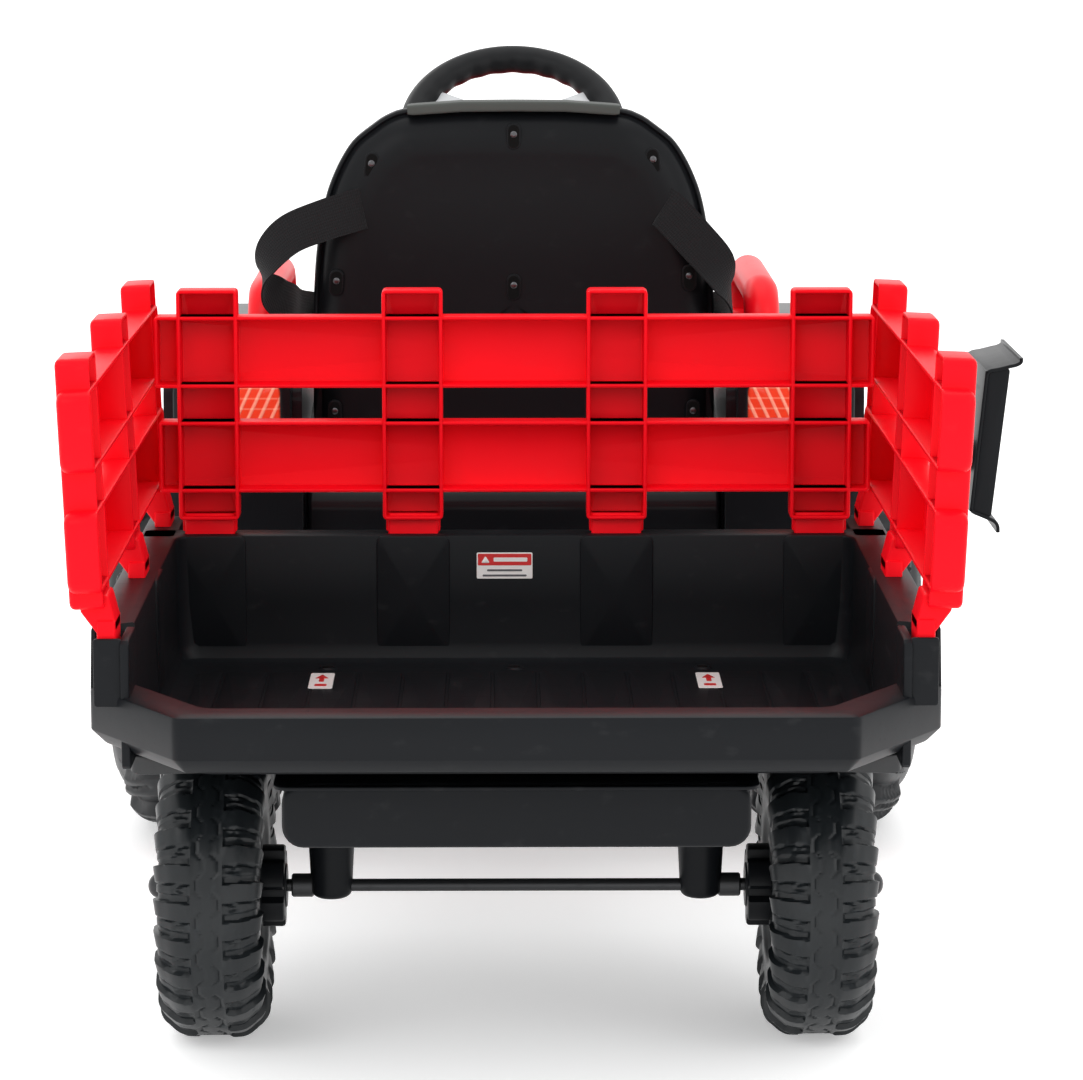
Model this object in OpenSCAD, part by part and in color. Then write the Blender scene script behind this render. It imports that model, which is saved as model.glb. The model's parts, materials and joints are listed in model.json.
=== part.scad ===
// Child's pedal tractor kart with a hitched cargo trailer.
// Built with the ground at z = 0 and the trailer's rear lip at y = 0, facing +Y,
// then moved so that the middle of the trailer's load floor is the origin.

/* [Cargo tub] */
// width across the outside of the tub
tub_w = 510; // [430:5:620]
// length of the tub, rear lip to front wall
tub_len = 449; // [380:1:560]
// thickness of the hollow side and front walls
tub_wall = 25; // [20:1:32]
// height of the rim above the ground
rim_z = 284; // [264:1:320]
// height of the load floor above the ground
floor_z = 197; // [194:1:215]
// height of the low rear lip above the ground
lip_z = 249; // [236:1:258]
// depth of the flat top of the rear lip
lip_d = 28; // [20:1:34]
// sideways size of the cut rear corners
cut_x = 57.5; // [40:0.5:75]
// lengthways size of the cut rear corners
cut_y = 86.5; // [60:0.5:95]
// spacing of the grooves in the load floor
groove_pitch = 30; // [20:1:45]

/* [Trailer running gear] */
// distance of the wheel axle from the rear lip
axle_y = 210; // [170:1:240]
// diameter of the trailer tyres
twheel_d = 190; // [150:1:190]
// width of the trailer tyres
twheel_w = 67; // [45:1:72]
// distance between the middles of the two tyres
twheel_track = 380; // [340:1:400]
// diameter of the steel axle rod
rod_d = 8; // [6:0.5:12]
// width of the box under the tub
belly_w = 274; // [200:1:290]
// depth of the box under the tub
belly_h = 41; // [25:1:50]
// distance between the two axle posts
leg_gap = 231; // [160:1:236]

/* [Stake fences] */
// height of one rail
rail_h = 48.5; // [35:0.5:56]
// height of the lower rail's bottom edge above the rim
rail_1 = 29; // [20:0.5:40]
// distance from one rail's bottom edge to the next
rail_step = 71.5; // [62:0.5:90]
// width of one stake
stake_w = 41; // [28:1:52]
// height of the stakes' tops above the rim
stake_top = 167; // [150:1:190]
// thickness of the fence panels
fence_t = 20; // [14:1:24]
// wall of the moulded trays
tray_t = 2.5; // [2:0.1:4]
// spacing of the side fence's stakes
side_pitch = 204; // [160:1:210]
// spacing of the front fence's stakes
front_pitch = 138.5; // [110:0.5:145]

/* [Tractor] */
// distance of the hitch pin from the rear lip
hitch_y = 580; // [570:1:640]
// distance from the hitch pin to the rear axle
hitch_to_axle = 200; // [195:1:260]
// distance between rear and front axles
wheelbase = 470; // [450:1:600]
// diameter of the rear tyres
rear_d = 316; // [260:1:330]
// width of the rear tyres
rear_w = 133; // [80:1:140]
// distance between the outsides of the rear tyres
rear_over = 608; // [560:1:680]
// diameter of the front tyres
front_d = 240; // [190:1:240]
// width of the front tyres
front_w = 70; // [50:1:85]
// width of the hood
hood_w = 260; // [200:1:280]
// height of the hood's top above the ground
hood_z = 428; // [380:1:440]
// width over the fenders
fender_over = 506; // [440:1:560]
// height of the fenders' tops
fender_z = 388; // [370:1:410]

/* [Seat] */
// width of the seat back
seat_w = 294; // [240:1:296]
// height of the seat back's top
seat_z = 562; // [500:1:640]
// height of the sitting surface
sit_z = 318; // [300:1:350]

/* [Steering] */
// outside diameter of the steering wheel
sw_d = 180; // [150:1:230]
// thickness of the steering wheel's rim
sw_t = 22; // [16:1:28]
// lean of the steering column from upright
sw_tilt = 40; // [25:1:50]
// height of the steering wheel's middle
sw_z = 527; // [500:1:580]

/* [Pedals] */
// length of one crank arm
crank_r = 58; // [50:1:64]
// distance of the crank from the rear axle
crank_dy = 242; // [238:1:250]
// height of the crank above the ground
crank_z = 160; // [150:1:165]
// teeth on the front chain wheel
teeth_front = 24; // [18:1:28]
// teeth on the rear sprocket
teeth_rear = 12; // [10:1:16]

/* [Digger] */
// reach from the swing post to the bucket's hinge
boom_reach = 378; // [320:1:460]
// height of the boom's hinge
boom_z = 303; // [300:1:330]
// width of the bucket
bucket_w = 150; // [100:1:200]
// height of the bucket's opening
bucket_h = 160; // [120:1:180]

/* [Hidden] */
$fn = 64;
red = [0.85, 0.04, 0.09];
black = [0.11, 0.12, 0.13];
grey = [0.38, 0.40, 0.38];
steel = [0.7, 0.7, 0.72];
white = [0.92, 0.92, 0.9];
hw = tub_w / 2;
pan_z = floor_z - 3;
skirt_z = floor_z + 17;
front_in = tub_len - tub_wall;
ramp_y = 93;
ramp_z = floor_z + 16;
floor_mid = (lip_d + front_in) / 2;
ear_y = side_1() + 2 * side_pitch + stake_w / 2 + 4;
tw_r = twheel_d / 2;
tw_in = twheel_track / 2 - twheel_w / 2;
tw_out = twheel_track / 2 + twheel_w / 2;
label_x = 4.3 * groove_pitch;
cut_l = sqrt(cut_x * cut_x + cut_y * cut_y);
tab_t = 11;
tab_w = 34;
tab_d = 26;
socket_x = hw - tub_wall / 2;
socket_y = tub_len - tub_wall / 2;
lean = 2.45;
ra_y = hitch_y + hitch_to_axle;
ra_z = rear_d / 2;
fa_y = ra_y + wheelbase;
fa_z = front_d / 2;
rear_in = rear_over / 2 - rear_w;
beam_z0 = 130;
beam_z1 = 190;
nose_y = fa_y + 70;
post_y = nose_y + 42;
crank_y = ra_y + crank_dy;
chain_x = -72;
ring_r = teeth_front * 12.7 / (2 * PI);
cog_r = teeth_rear * 12.7 / (2 * PI);
seat_y = hitch_y + 60;
sw_y = ra_y + 150;
king_x = 122;
hood_z0 = 266;
body_z0 = 230;
arm_x = 96;
pedal_x = 126;
belt_x = seat_w * 0.4;
belt_z = 482 * seat_z / 562;
fw_in = 158;

function side_1() = 75.5;

// ---- helpers ----
module place() translate([0, -floor_mid, -floor_z]) children();
// outline drawn as (y, z), run from x0 to x1
module along_x(x0, x1) translate([x0, 0, 0]) rotate([90, 0, 90]) linear_extrude(x1 - x0) children();
// outline drawn as (x, z), run from y0 to y1
module along_y(y0, y1) translate([0, y1, 0]) rotate([90, 0, 0]) linear_extrude(y1 - y0) children();
// box from its low corner to its high corner
module span(a, b) translate(a) cube([b[0] - a[0], b[1] - a[1], b[2] - a[2]]);
// round bar along x
module rod_x(x0, x1, y, z, r) translate([x0, y, z]) rotate([0, 90, 0]) cylinder(r = r, h = x1 - x0);
// round bar along y
module rod_y(y0, y1, x, z, r) translate([x, y0, z]) rotate([-90, 0, 0]) cylinder(r = r, h = y1 - y0);
// mirror a left-hand piece to the right
module right_of() mirror([1, 0, 0]) children();
// body turned about an axle along x; outline drawn as (radius, distance along the axle)
module wheel_at(x, y, z) translate([x, y, z]) rotate([0, 90, 0]) rotate_extrude() children();
// rectangle with rounded corners
module round_rect(w, h, r) {
    square([w - 2 * r, h], center = true);
    square([w, h - 2 * r], center = true);
    for (x = [-1, 1], y = [-1, 1]) translate([x * (w / 2 - r), y * (h / 2 - r)]) circle(r);
}

// ---- trailer ----
module tub_plan() polygon([[-hw, cut_y], [-hw + cut_x, 0], [hw - cut_x, 0], [hw, cut_y],
    [hw, tub_len], [-hw, tub_len]]);
module hold_plan() {
    xi = hw - cut_x + (cut_x - cut_l) * lip_d / cut_y;
    yi = (cut_y * (cut_x - tub_wall) + lip_d * cut_l) / cut_x;
    polygon([[-hw + tub_wall, yi], [-xi, lip_d], [xi, lip_d], [hw - tub_wall, yi],
        [hw - tub_wall, front_in], [-hw + tub_wall, front_in]]);
}
// sloping cut under one edge of the tub
module under_cut(x, y, a) translate([x, y, skirt_z]) rotate([0, 0, a]) translate([-300, 0, 0])
    rotate([42, 0, 0]) translate([0, -20, -14]) cube([600, 20, 40]);
// everything above the floor's line, shifted by h, up to a height
module above_floor(h, top) along_x(-hw, hw) polygon([
    [lip_d - 5, ramp_z + h + 5 * (ramp_z - floor_z) / (ramp_y - lip_d)],
    [ramp_y, floor_z + h], [tub_len, floor_z + h], [tub_len, top], [lip_d - 5, top]]);
module trailer_tub() color(black) place() difference() {
    union() {
        difference() {
            translate([0, 0, skirt_z]) linear_extrude(rim_z - skirt_z) tub_plan();
            // the rear stays low
            span([-hw - 1, -1, lip_z], [hw + 1, cut_y, rim_z + 1]);
            // the edges under the lip and sides slope inwards
            translate([0, 8, 0]) under_cut(0, 0, 0);
            for (s = [-1, 1]) {
                translate([s * (hw - 8), 0, 0]) under_cut(0, tub_len / 2, s * 90);
                translate([s * (hw - cut_x / 2), cut_y / 2, 0]) rotate([0, 0, s * atan(cut_y / cut_x)])
                    translate([0, 9.2, 0]) under_cut(0, 0, 0);
            }
        }
        // floor pan, rising towards the lip
        intersection() {
            translate([0, 0, pan_z]) linear_extrude(23) offset(delta = 3) hold_plan();
            above_floor(-3, skirt_z + 3);
        }
        // ears for the last side sockets
        for (s = [-1, 1]) span([s * (hw - tub_wall / 2) - tub_wall / 2, tub_len - 1, rim_z - 40],
            [s * (hw - tub_wall / 2) + tub_wall / 2, ear_y, rim_z]);
    }
    // hold
    intersection() {
        translate([0, 0, floor_z - 1]) linear_extrude(200) hold_plan();
        above_floor(0, rim_z + 50);
    }
    // floor grooves and drain holes
    for (i = [0 : 6], s = [-1, 1])
        span([s * (i + 0.5) * groove_pitch - 1, ramp_y + 5, floor_z - 1],
            [s * (i + 0.5) * groove_pitch + 1, front_in - 40, floor_z + 1]);
    for (s = [-1, 0, 1]) translate([s * 127, front_in - 26, pan_z - 1]) cylinder(d = 7, h = 8);
    // recesses for the floor labels
    for (s = [-1, 1]) span([s * label_x - 8.1, front_in - 98.1, floor_z - 0.6],
        [s * label_x + 8.1, front_in - 47.9, floor_z + 1]);
    // hollow walls, open below
    for (s = [-1, 1]) {
        span([s * socket_x - tub_wall / 2 + 3, cut_y + 22, skirt_z - 1],
            [s * socket_x + tub_wall / 2 - 3, side_1() + side_pitch - 22, rim_z - 3]);
        span([s * socket_x - tub_wall / 2 + 3, side_1() + side_pitch + 26, skirt_z - 1],
            [s * socket_x + tub_wall / 2 - 3, tub_len - 3, rim_z - 3]);
    }
    for (i = [-1 : 1]) span([i * front_pitch - front_pitch / 2 + 24, front_in + 3, skirt_z - 1],
        [i * front_pitch + front_pitch / 2 - 24, tub_len - 3, rim_z - 3]);
    span([-hw + cut_x + 22, 9, skirt_z - 1], [hw - cut_x - 22, lip_d - 3, lip_z - 3]);
    // sockets for the fences
    for (s = [-1, 1], i = [0 : 2]) translate([s * socket_x, side_1() + 4 + i * (side_pitch - 5), rim_z])
        cube([tab_t + 1, tab_w + 1, 2 * tab_d + 4], center = true);
    for (i = [-1.5 : 1.5]) translate([i * front_pitch, socket_y, rim_z])
        cube([tab_w + 1, tab_t + 1, 2 * tab_d + 4], center = true);
}
module belly_box() color(black) place() difference() {
    along_y(60, axle_y + 170) translate([0, pan_z - belly_h / 2]) {
        round_rect(belly_w, belly_h, 9);
        translate([-belly_w / 2, 0]) square([belly_w, belly_h / 2]);
    }
    along_y(63, axle_y + 167) translate([0, pan_z - belly_h / 2]) round_rect(belly_w - 6, belly_h - 6, 6);
}
module axle_posts() color(black) place() for (s = [-1, 1]) difference() {
    union() {
        translate([s * leg_gap / 2, axle_y, tw_r + 4]) cylinder(r1 = 13.2, r2 = 15.3,
            h = pan_z - belly_h - tw_r - 4);
        translate([s * leg_gap / 2, axle_y, tw_r + 4]) sphere(13.2);
    }
    rod_x(s * leg_gap / 2 - 20, s * leg_gap / 2 + 20, axle_y, tw_r, rod_d / 2 + 0.05);
}
module axle_rod() color(steel) place() {
    rod_x(-tw_out - 10, tw_out + 10, axle_y, tw_r, rod_d / 2);
    for (s = [-1, 1]) {
        rod_x(s * (leg_gap / 2 + 20.4) - 7, s * (leg_gap / 2 + 20.4) + 7, axle_y, tw_r, 7.5);
        rod_x(s * (tw_out + 5) - 4, s * (tw_out + 5) + 4, axle_y, tw_r, 8);
    }
}
module trailer_tyre() difference() {
    wheel_at(-twheel_track / 2, axle_y, tw_r) polygon([[rod_d / 2 + 0.06, -14], [30, -14],
        [42, -twheel_w / 2], [tw_r - 14, -twheel_w / 2], [tw_r - 3, -twheel_w / 2 + 8], [tw_r, -12],
        [tw_r, 12], [tw_r - 3, twheel_w / 2 - 8], [tw_r - 14, twheel_w / 2], [42, twheel_w / 2],
        [30, 22], [rod_d / 2 + 0.06, 22]]);
    wheel_at(-twheel_track / 2, axle_y, tw_r) polygon([[20, -10], [32, -10], [44, -twheel_w / 2 + 4],
        [tw_r - 16, -twheel_w / 2 + 4], [tw_r - 6, -10], [tw_r - 6, 10], [tw_r - 16, twheel_w / 2 - 4],
        [44, twheel_w / 2 - 4], [32, 18], [20, 18]]);
}
module trailer_tyre_left() color(black) place() trailer_tyre();
module trailer_tyre_right() color(black) place() right_of() trailer_tyre();
module hub_knob() difference() {
    union() {
        rod_x(-tw_in, -tw_in + 9, axle_y, tw_r, 21);
        for (a = [0 : 60 : 300]) translate([-tw_in, axle_y, tw_r]) rotate([a, 0, 0])
            translate([0, 0, 18]) rotate([0, 90, 0]) cylinder(r = 8, h = 11.5);
        rod_x(-tw_in - 11.4, -tw_in + 4, axle_y, tw_r, 24);
    }
    rod_x(-tw_in - 30, -tw_in + 30, axle_y, tw_r, rod_d / 2 + 0.06);
}
module hub_knob_left() color(black) place() hub_knob();
module hub_knob_right() color(black) place() right_of() hub_knob();
module tow_bar() color(steel) place() difference() {
    union() {
        along_x(-20, 20) polygon([[axle_y + 175, pan_z], [axle_y + 175, pan_z - 10],
            [tub_len - 10, pan_z - 12], [tub_len + 40, 152], [hitch_y, 152], [hitch_y, 164],
            [tub_len + 46, 164], [tub_len, pan_z]]);
        translate([0, hitch_y, 152]) cylinder(r = 20, h = 12);
    }
    translate([0, hitch_y, 140]) cylinder(r = 6.06, h = 40);
}
module cargo_labels() color(white) place() {
    for (s = [-1, 1]) span([s * label_x - 8, front_in - 98, floor_z - 0.6],
        [s * label_x + 8, front_in - 48, floor_z - 0.1]);
    span([-26, front_in - 0.5, rim_z - 30], [12, front_in, rim_z - 12]);
}

// ---- stake fences ----
// open tray drawn in the x-z plane, its mouth towards -y
module tray(x0, z0, x1, z1) difference() {
    span([x0, 0, z0], [x1, fence_t, z1]);
    span([x0 + tray_t, -1, z0 + tray_t], [x1 - tray_t, fence_t - tray_t, z1 - tray_t]);
}
module fence_front() color(red) place() translate([0, socket_y - fence_t / 2, rim_z]) {
    for (i = [0, 1]) {
        half = hw - 13.5 + i * 2.2;
        tray(-half, rail_1 + i * rail_step, half, rail_1 + i * rail_step + rail_h);
    }
    for (i = [-1.5 : 1.5]) {
        tray(i * front_pitch - stake_w / 2, 10, i * front_pitch + stake_w / 2, stake_top);
        translate([i * front_pitch - tab_w / 2, fence_t / 2 - tab_t / 2, -tab_d]) cube([tab_w, tab_t, tab_d + 12]);
    }
}
// side panel along y; the trays' mouths face the hold
module fence_side() {
    translate([-socket_x, 0, rim_z]) {
        rotate([0, -lean, 0]) translate([0.5, 0, 0]) rotate([0, 0, 90]) {
            for (i = [0, 1]) tray(43, rail_1 + i * rail_step, ear_y + 2, rail_1 + i * rail_step + rail_h);
            for (i = [0 : 2]) tray(side_1() + i * side_pitch - stake_w / 2, 18,
                side_1() + i * side_pitch + stake_w / 2, stake_top);
        }
        for (i = [0 : 2]) {
            y = side_1() + 4 + i * (side_pitch - 5);
            span([-tab_t / 2, y - tab_w / 2, -tab_d], [tab_t / 2, y + tab_w / 2, 8]);
            along_y(y - tab_w / 2 + 2, y + tab_w / 2 - 2) polygon([[-tab_t / 2, 0], [tab_t / 2, 0],
                [tab_t / 2, 10], [2, 24], [-14, 24], [-14, 14]]);
        }
    }
}
module fence_left() color(red) place() fence_side();
module fence_right() color(red) place() right_of() fence_side();

// ---- tractor frame and body ----
module chassis_beam() color(black) place() difference() {
    span([-30, hitch_y + 32, beam_z0], [30, nose_y, beam_z1]);
    span([-27, hitch_y + 36, beam_z0 + 3], [27, nose_y - 4, beam_z1 - 3]);
    rod_x(-40, 40, ra_y, ra_z, 7.06);
    rod_x(-40, 40, crank_y, crank_z, 7.06);
}
module hitch_bracket() color(steel) place() {
    span([-24, hitch_y - 2, 143], [24, hitch_y + 32, 151]);
    translate([0, hitch_y, 143]) cylinder(r = 24, h = 8);
    translate([0, hitch_y, 143]) cylinder(r = 6, h = 36);
    span([-24, hitch_y + 26, 133], [24, hitch_y + 32, 187]);
}
// side outline of the box under the seat
module rear_outline(i) translate([ra_y - 5, (body_z0 + 286) / 2])
    round_rect(310 - 2 * i, 286 - body_z0 - 2 * i, 18 - i);
module rear_body() color(black) place() difference() {
    union() {
        along_x(-rear_in + 20, rear_in - 20) rear_outline(0);
        // saddle on the beam
        span([-28, ra_y - 120, beam_z1], [28, ra_y + 110, body_z0 + 5]);
    }
    along_x(-rear_in + 24, rear_in - 24) rear_outline(4);
    span([-24, ra_y - 116, beam_z1 + 4], [24, ra_y + 106, body_z0 + 6]);
}
// side outline of a fender
module fender_outline(i) difference() {
    translate([ra_y, fender_z - 100]) round_rect(352 - 2 * i, 200 - 2 * i, 40 - i);
    translate([ra_y, ra_z]) circle(ra_z + 12 + i, $fn = 96);
    translate([ra_y - 400, -1]) square([800, 223 + i]);
}
module fender() {
    difference() {
        along_x(-fender_over / 2, -rear_in + 18) fender_outline(0);
        along_x(-fender_over / 2 + 4, -rear_in + 14) fender_outline(4);
        // seat for the lamp
        span([-240, ra_y - 190, fender_z - 66], [-166, ra_y - 173, fender_z - 20]);
    }
    // lamp housing behind the seat
    span([-242, ra_y - 173, fender_z - 68], [-164, ra_y - 168, fender_z - 18]);
    // inner skirt that carries the fender on the body
    difference() {
        span([-rear_in + 16, ra_y - 150, 200], [-rear_in + 20, ra_y + 140, 282]);
        rod_x(-rear_in, -rear_in + 40, ra_y, ra_z, 30);
    }
}
module fender_left() color(black) place() fender();
module fender_right() color(black) place() right_of() fender();
module tail_light() along_y(ra_y - 182, ra_y - 173) translate([-203, fender_z - 43]) round_rect(73.4, 45.4, 8);
module tail_light_left() color([0.95, 0.25, 0.12, 0.8]) place() tail_light();
module tail_light_right() color([0.95, 0.25, 0.12, 0.8]) place() right_of() tail_light();
module grab_handle() {
    r = 13;
    for (e = [0, 1]) {
        y = ra_y - 118 + e * 190;
        translate([-182, y, fender_z]) cylinder(r = r, h = 12);
        translate([-182, y + (1 - 2 * e) * 22, fender_z + 12]) rotate([90, 0, 90])
            rotate([0, 0, e ? 0 : 90]) rotate_extrude(angle = 90) translate([22, 0]) circle(r);
    }
    rod_y(ra_y - 96, ra_y + 50, -182, fender_z + 34, r);
}
module grab_handle_left() color(red) place() grab_handle();
module grab_handle_right() color(red) place() right_of() grab_handle();

// ---- seat ----
// outline of the seat back, drawn from behind
module back_outline(i) polygon([for (s = [-1, 1]) for (p = s < 0 ?
    [[1, 286], [1, seat_z - 106], [0.93, seat_z - 69], [0.83, seat_z - 33], [0.58, seat_z - 6], [0.52, seat_z]] :
    [[0.52, seat_z], [0.58, seat_z - 6], [0.83, seat_z - 33], [0.93, seat_z - 69], [1, seat_z - 106], [1, 286]])
    [s * (p[0] * seat_w / 2 - i), p[1] < 300 ? p[1] + i : p[1] - i]]);
module screw_spots() for (p = [[0, 540], [-104, 519], [104, 519], [-132, 432], [0, 432], [132, 432],
    [-134, 338], [134, 338]]) translate([p[0] * seat_w / 294, 0, p[1] * seat_z / 562]) children();
module seat_shell() color(black) place() difference() {
    union() {
        along_y(seat_y, seat_y + 30) back_outline(0);
        // seat base with raised sides
        span([-seat_w / 2, seat_y + 10, 286], [seat_w / 2, seat_y + 250, sit_z]);
        for (s = [-1, 1]) along_x(s * (seat_w / 2 - 14) - 14, s * (seat_w / 2 - 14) + 14)
            polygon([[seat_y + 10, 290], [seat_y + 240, 290], [seat_y + 240, sit_z + 14],
            [seat_y + 120, sit_z + 40], [seat_y + 30, sit_z + 110], [seat_y + 10, sit_z + 110]]);
    }
    // sealed hollows
    along_y(seat_y + 5, seat_y + 22) back_outline(26);
    span([-seat_w / 2 + 34, seat_y + 40, 290], [seat_w / 2 - 34, seat_y + 244, sit_z - 12]);
    // recess for the trim
    along_y(seat_y + 26, seat_y + 40) back_outline(30);
    span([-seat_w / 2 + 28, seat_y + 33, sit_z - 8], [seat_w / 2 - 28, seat_y + 251, sit_z + 1]);
    // slots for the belts
    for (s = [-1, 1]) translate([s * belt_x, seat_y + 15, belt_z]) cube([2.2, 80, 31], center = true);
    // screw pockets
    screw_spots() translate([0, seat_y + 2, 0]) rotate([90, 0, 0]) cylinder(r = 5.5, h = 8, $fn = 24);
}
module seat_trim() color(grey) place() difference() {
    union() {
        along_y(seat_y + 26, seat_y + 32) back_outline(30);
        span([-seat_w / 2 + 28, seat_y + 34, sit_z - 8], [seat_w / 2 - 28, seat_y + 251, sit_z - 1]);
        // strip over the top edge of the back
        along_y(seat_y + 2, seat_y + 31) translate([0, seat_z + 1.5]) square([seat_w * 0.5, 3], center = true);
        along_y(seat_y + 30, seat_y + 33) translate([0, seat_z - 17]) square([seat_w * 0.5, 40], center = true);
    }
    for (s = [-1, 1]) translate([s * belt_x, seat_y + 15, belt_z]) cube([5, 80, 34], center = true);
}
module seat_screws() color(steel) place() screw_spots()
    translate([0, seat_y + 2, 0]) rotate([90, 0, 0]) cylinder(r = 4, h = 2.4, $fn = 24);
// strap run between two points in plan, standing on edge
module strap(a, b, z0, z1, w) {
    l = sqrt(pow(b[0] - a[0], 2) + pow(b[1] - a[1], 2));
    translate([a[0], a[1], z0]) rotate([0, 0, atan2(b[1] - a[1], b[0] - a[0])])
        rotate([0, atan2(z0 - z1, l), 0]) translate([-2, -0.8, -w / 2])
        cube([sqrt(l * l + (z1 - z0) * (z1 - z0)) + 4, 1.6, w]);
}
module belt() {
    side = seat_w / 2 + 12;
    strap([-belt_x, seat_y + 12], [-belt_x, seat_y - 3], belt_z, belt_z, 30);
    strap([-belt_x, seat_y - 3], [-side + 7, seat_y - 6], belt_z, belt_z - 16, 30);
    strap([-side + 7, seat_y - 6], [-side - 16, seat_y - 5], belt_z - 16, belt_z - 34, 30);
    strap([-side - 16, seat_y - 5], [-side - 4, seat_y + 8], belt_z - 34, belt_z - 48, 30);
    strap([-side - 4, seat_y + 8], [-side, seat_y + 50], belt_z - 48, belt_z - 54, 30);
    strap([-side, seat_y + 50], [-side + 10, seat_y + 120], belt_z - 54, sit_z + 92, 30);
    strap([-side + 10, seat_y + 120], [-side + 64, seat_y + 145], sit_z + 92, sit_z + 60, 30);
    strap([-side + 64, seat_y + 145], [-36, seat_y + 150], sit_z + 60, sit_z + 30, 30);
}
module belt_left() color(black) place() belt();
module belt_right() color(black) place() right_of() belt();
module belt_buckle() color(grey) place() translate([0, seat_y + 150, sit_z + 26])
    rotate([90, 0, 0]) translate([0, 0, -6]) linear_extrude(12) round_rect(54, 42, 6);

// ---- hood, dash and nose ----
module hood_outline(i) polygon([[ra_y + 215 + i, hood_z0 + i], [nose_y - 12 - i, hood_z0 + i], [nose_y - i, hood_z0 + 12 + i],
    [nose_y - i, hood_z - 70], [nose_y - 14 - i, hood_z - 26 - i], [nose_y - 44, hood_z - 8 - i],
    [ra_y + 300, hood_z - i], [ra_y + 227 + i, hood_z - i], [ra_y + 215 + i, hood_z - 12 - i]]);
module hood() color(red) place() difference() {
    along_x(-hood_w / 2, hood_w / 2) hood_outline(0);
    along_x(-hood_w / 2 + 4, hood_w / 2 - 4) hood_outline(4);
}
module grille() color(black) place() difference() {
    along_y(nose_y, nose_y + 5) translate([0, 322]) round_rect(hood_w * 0.5, 100, 10);
    for (i = [-3 : 3]) span([-hood_w * 0.21, nose_y + 2.5, 320 + i * 12], [hood_w * 0.21, nose_y + 6, 326 + i * 12]);
}
module headlights() color(white) place() for (s = [-1, 1])
    rod_y(nose_y, nose_y + 7, s * hood_w * 0.38, 330, 21);
module cowl() color(black) place() {
    difference() {
        span([-58, ra_y + 236, beam_z1], [58, nose_y - 10, hood_z0 - 3]);
        span([-54, ra_y + 240, beam_z1 + 4], [54, nose_y - 14, hood_z0 - 7]);
    }
    span([-hood_w / 2 + 3, ra_y + 218, hood_z0 - 4], [hood_w / 2 - 3, nose_y - 3, hood_z0]);
}
module at_column() translate([0, sw_y, sw_z]) rotate([sw_tilt, 0, 0]) children();
module column_housing() color(black) place() difference() {
    at_column() translate([0, 0, -260]) cylinder(r1 = 34, r2 = 17, h = 200);
    span([-100, sw_y - 100, 100], [100, sw_y + 400, hood_z]);
    at_column() translate([0, 0, -142]) cylinder(r = 8.06, h = 200);
}
module steering_rim() color(black) place() at_column() rotate_extrude($fn = 96)
    translate([sw_d / 2 - sw_t / 2, 0]) circle(sw_t / 2, $fn = 32);
module steering_spokes() color(steel) place() at_column() {
    for (a = [0, 120, 240]) rotate([0, 0, a + 90]) span([18, -9, -6], [sw_d / 2 - sw_t - 0.7, 9, 0]);
    translate([0, 0, -16]) cylinder(r = 28, h = 20);
    translate([0, 0, -58]) cylinder(r = 12, h = 46);
    translate([0, 0, -118]) cylinder(r = 8, h = 110);
}
module front_bumper() color(black) place() difference() {
    bumper_bar();
    translate([0, post_y, 100]) cylinder(r = 16.05, h = 120);
}
module bumper_bar() {
    along_x(-112, 112) translate([nose_y + 9, 168]) round_rect(18, 56, 7);
    for (s = [-1, 1]) span([s * 100 - 12, nose_y, 176], [s * 100 + 12, nose_y + 12, 192]);
    span([-18, nose_y + 10, 142], [18, post_y, 190]);
}
module swing_post() color(steel) place() difference() {
    translate([0, post_y, 142]) cylinder(r = 16, h = boom_z - 28 - 142);
    translate([0, post_y, boom_z - 78]) cylinder(r = 8.06, h = 80);
}

// ---- front axle ----
module front_axle_beam() color(steel) place() difference() {
    union() {
        span([-king_x + 8, fa_y - 13, fa_z - 16], [king_x - 8, fa_y + 13, fa_z + 10]);
        for (s = [-1, 1]) translate([s * king_x, fa_y, fa_z - 18]) cylinder(r = 13, h = 30);
    }
    for (s = [-1, 1]) translate([s * king_x, fa_y, fa_z - 60]) cylinder(r = 5.06, h = 120);
}
module knuckle() {
    translate([-king_x, fa_y, fa_z - 34]) cylinder(r = 5, h = 62);
    for (z = [-34, 13]) {
        translate([-king_x, fa_y, fa_z + z]) cylinder(r = 11, h = 15);
        span([-king_x - 30, fa_y - 9, fa_z + z], [-king_x, fa_y + 9, fa_z + z + 15]);
    }
    span([-king_x - 30, fa_y - 9, fa_z - 34], [-king_x - 20, fa_y + 9, fa_z + 28]);
    rod_x(-fw_in - front_w - 8, -king_x - 22, fa_y, fa_z, 6);
    span([-king_x - 8, fa_y - 50, fa_z - 34], [-king_x + 8, fa_y, fa_z - 26]);
    translate([-king_x, fa_y - 50, fa_z - 34]) cylinder(r = 8, h = 8);
    translate([-king_x, fa_y - 50, fa_z - 27]) cylinder(r = 3, h = 12);
}
module knuckle_left() color(steel) place() knuckle();
module knuckle_right() color(steel) place() right_of() knuckle();
module tie_rod() color(steel) place() difference() {
    union() {
        span([-king_x, fa_y - 55, fa_z - 25.5], [king_x, fa_y - 45, fa_z - 18]);
        for (s = [-1, 1]) span([s * king_x - 9, fa_y - 59, fa_z - 25.5], [s * king_x + 9, fa_y - 36, fa_z - 18]);
    }
    for (s = [-1, 1]) span([s * king_x - 3.9, fa_y - 54, fa_z - 40], [s * king_x + 3.9, fa_y - 41, fa_z]);
}

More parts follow.
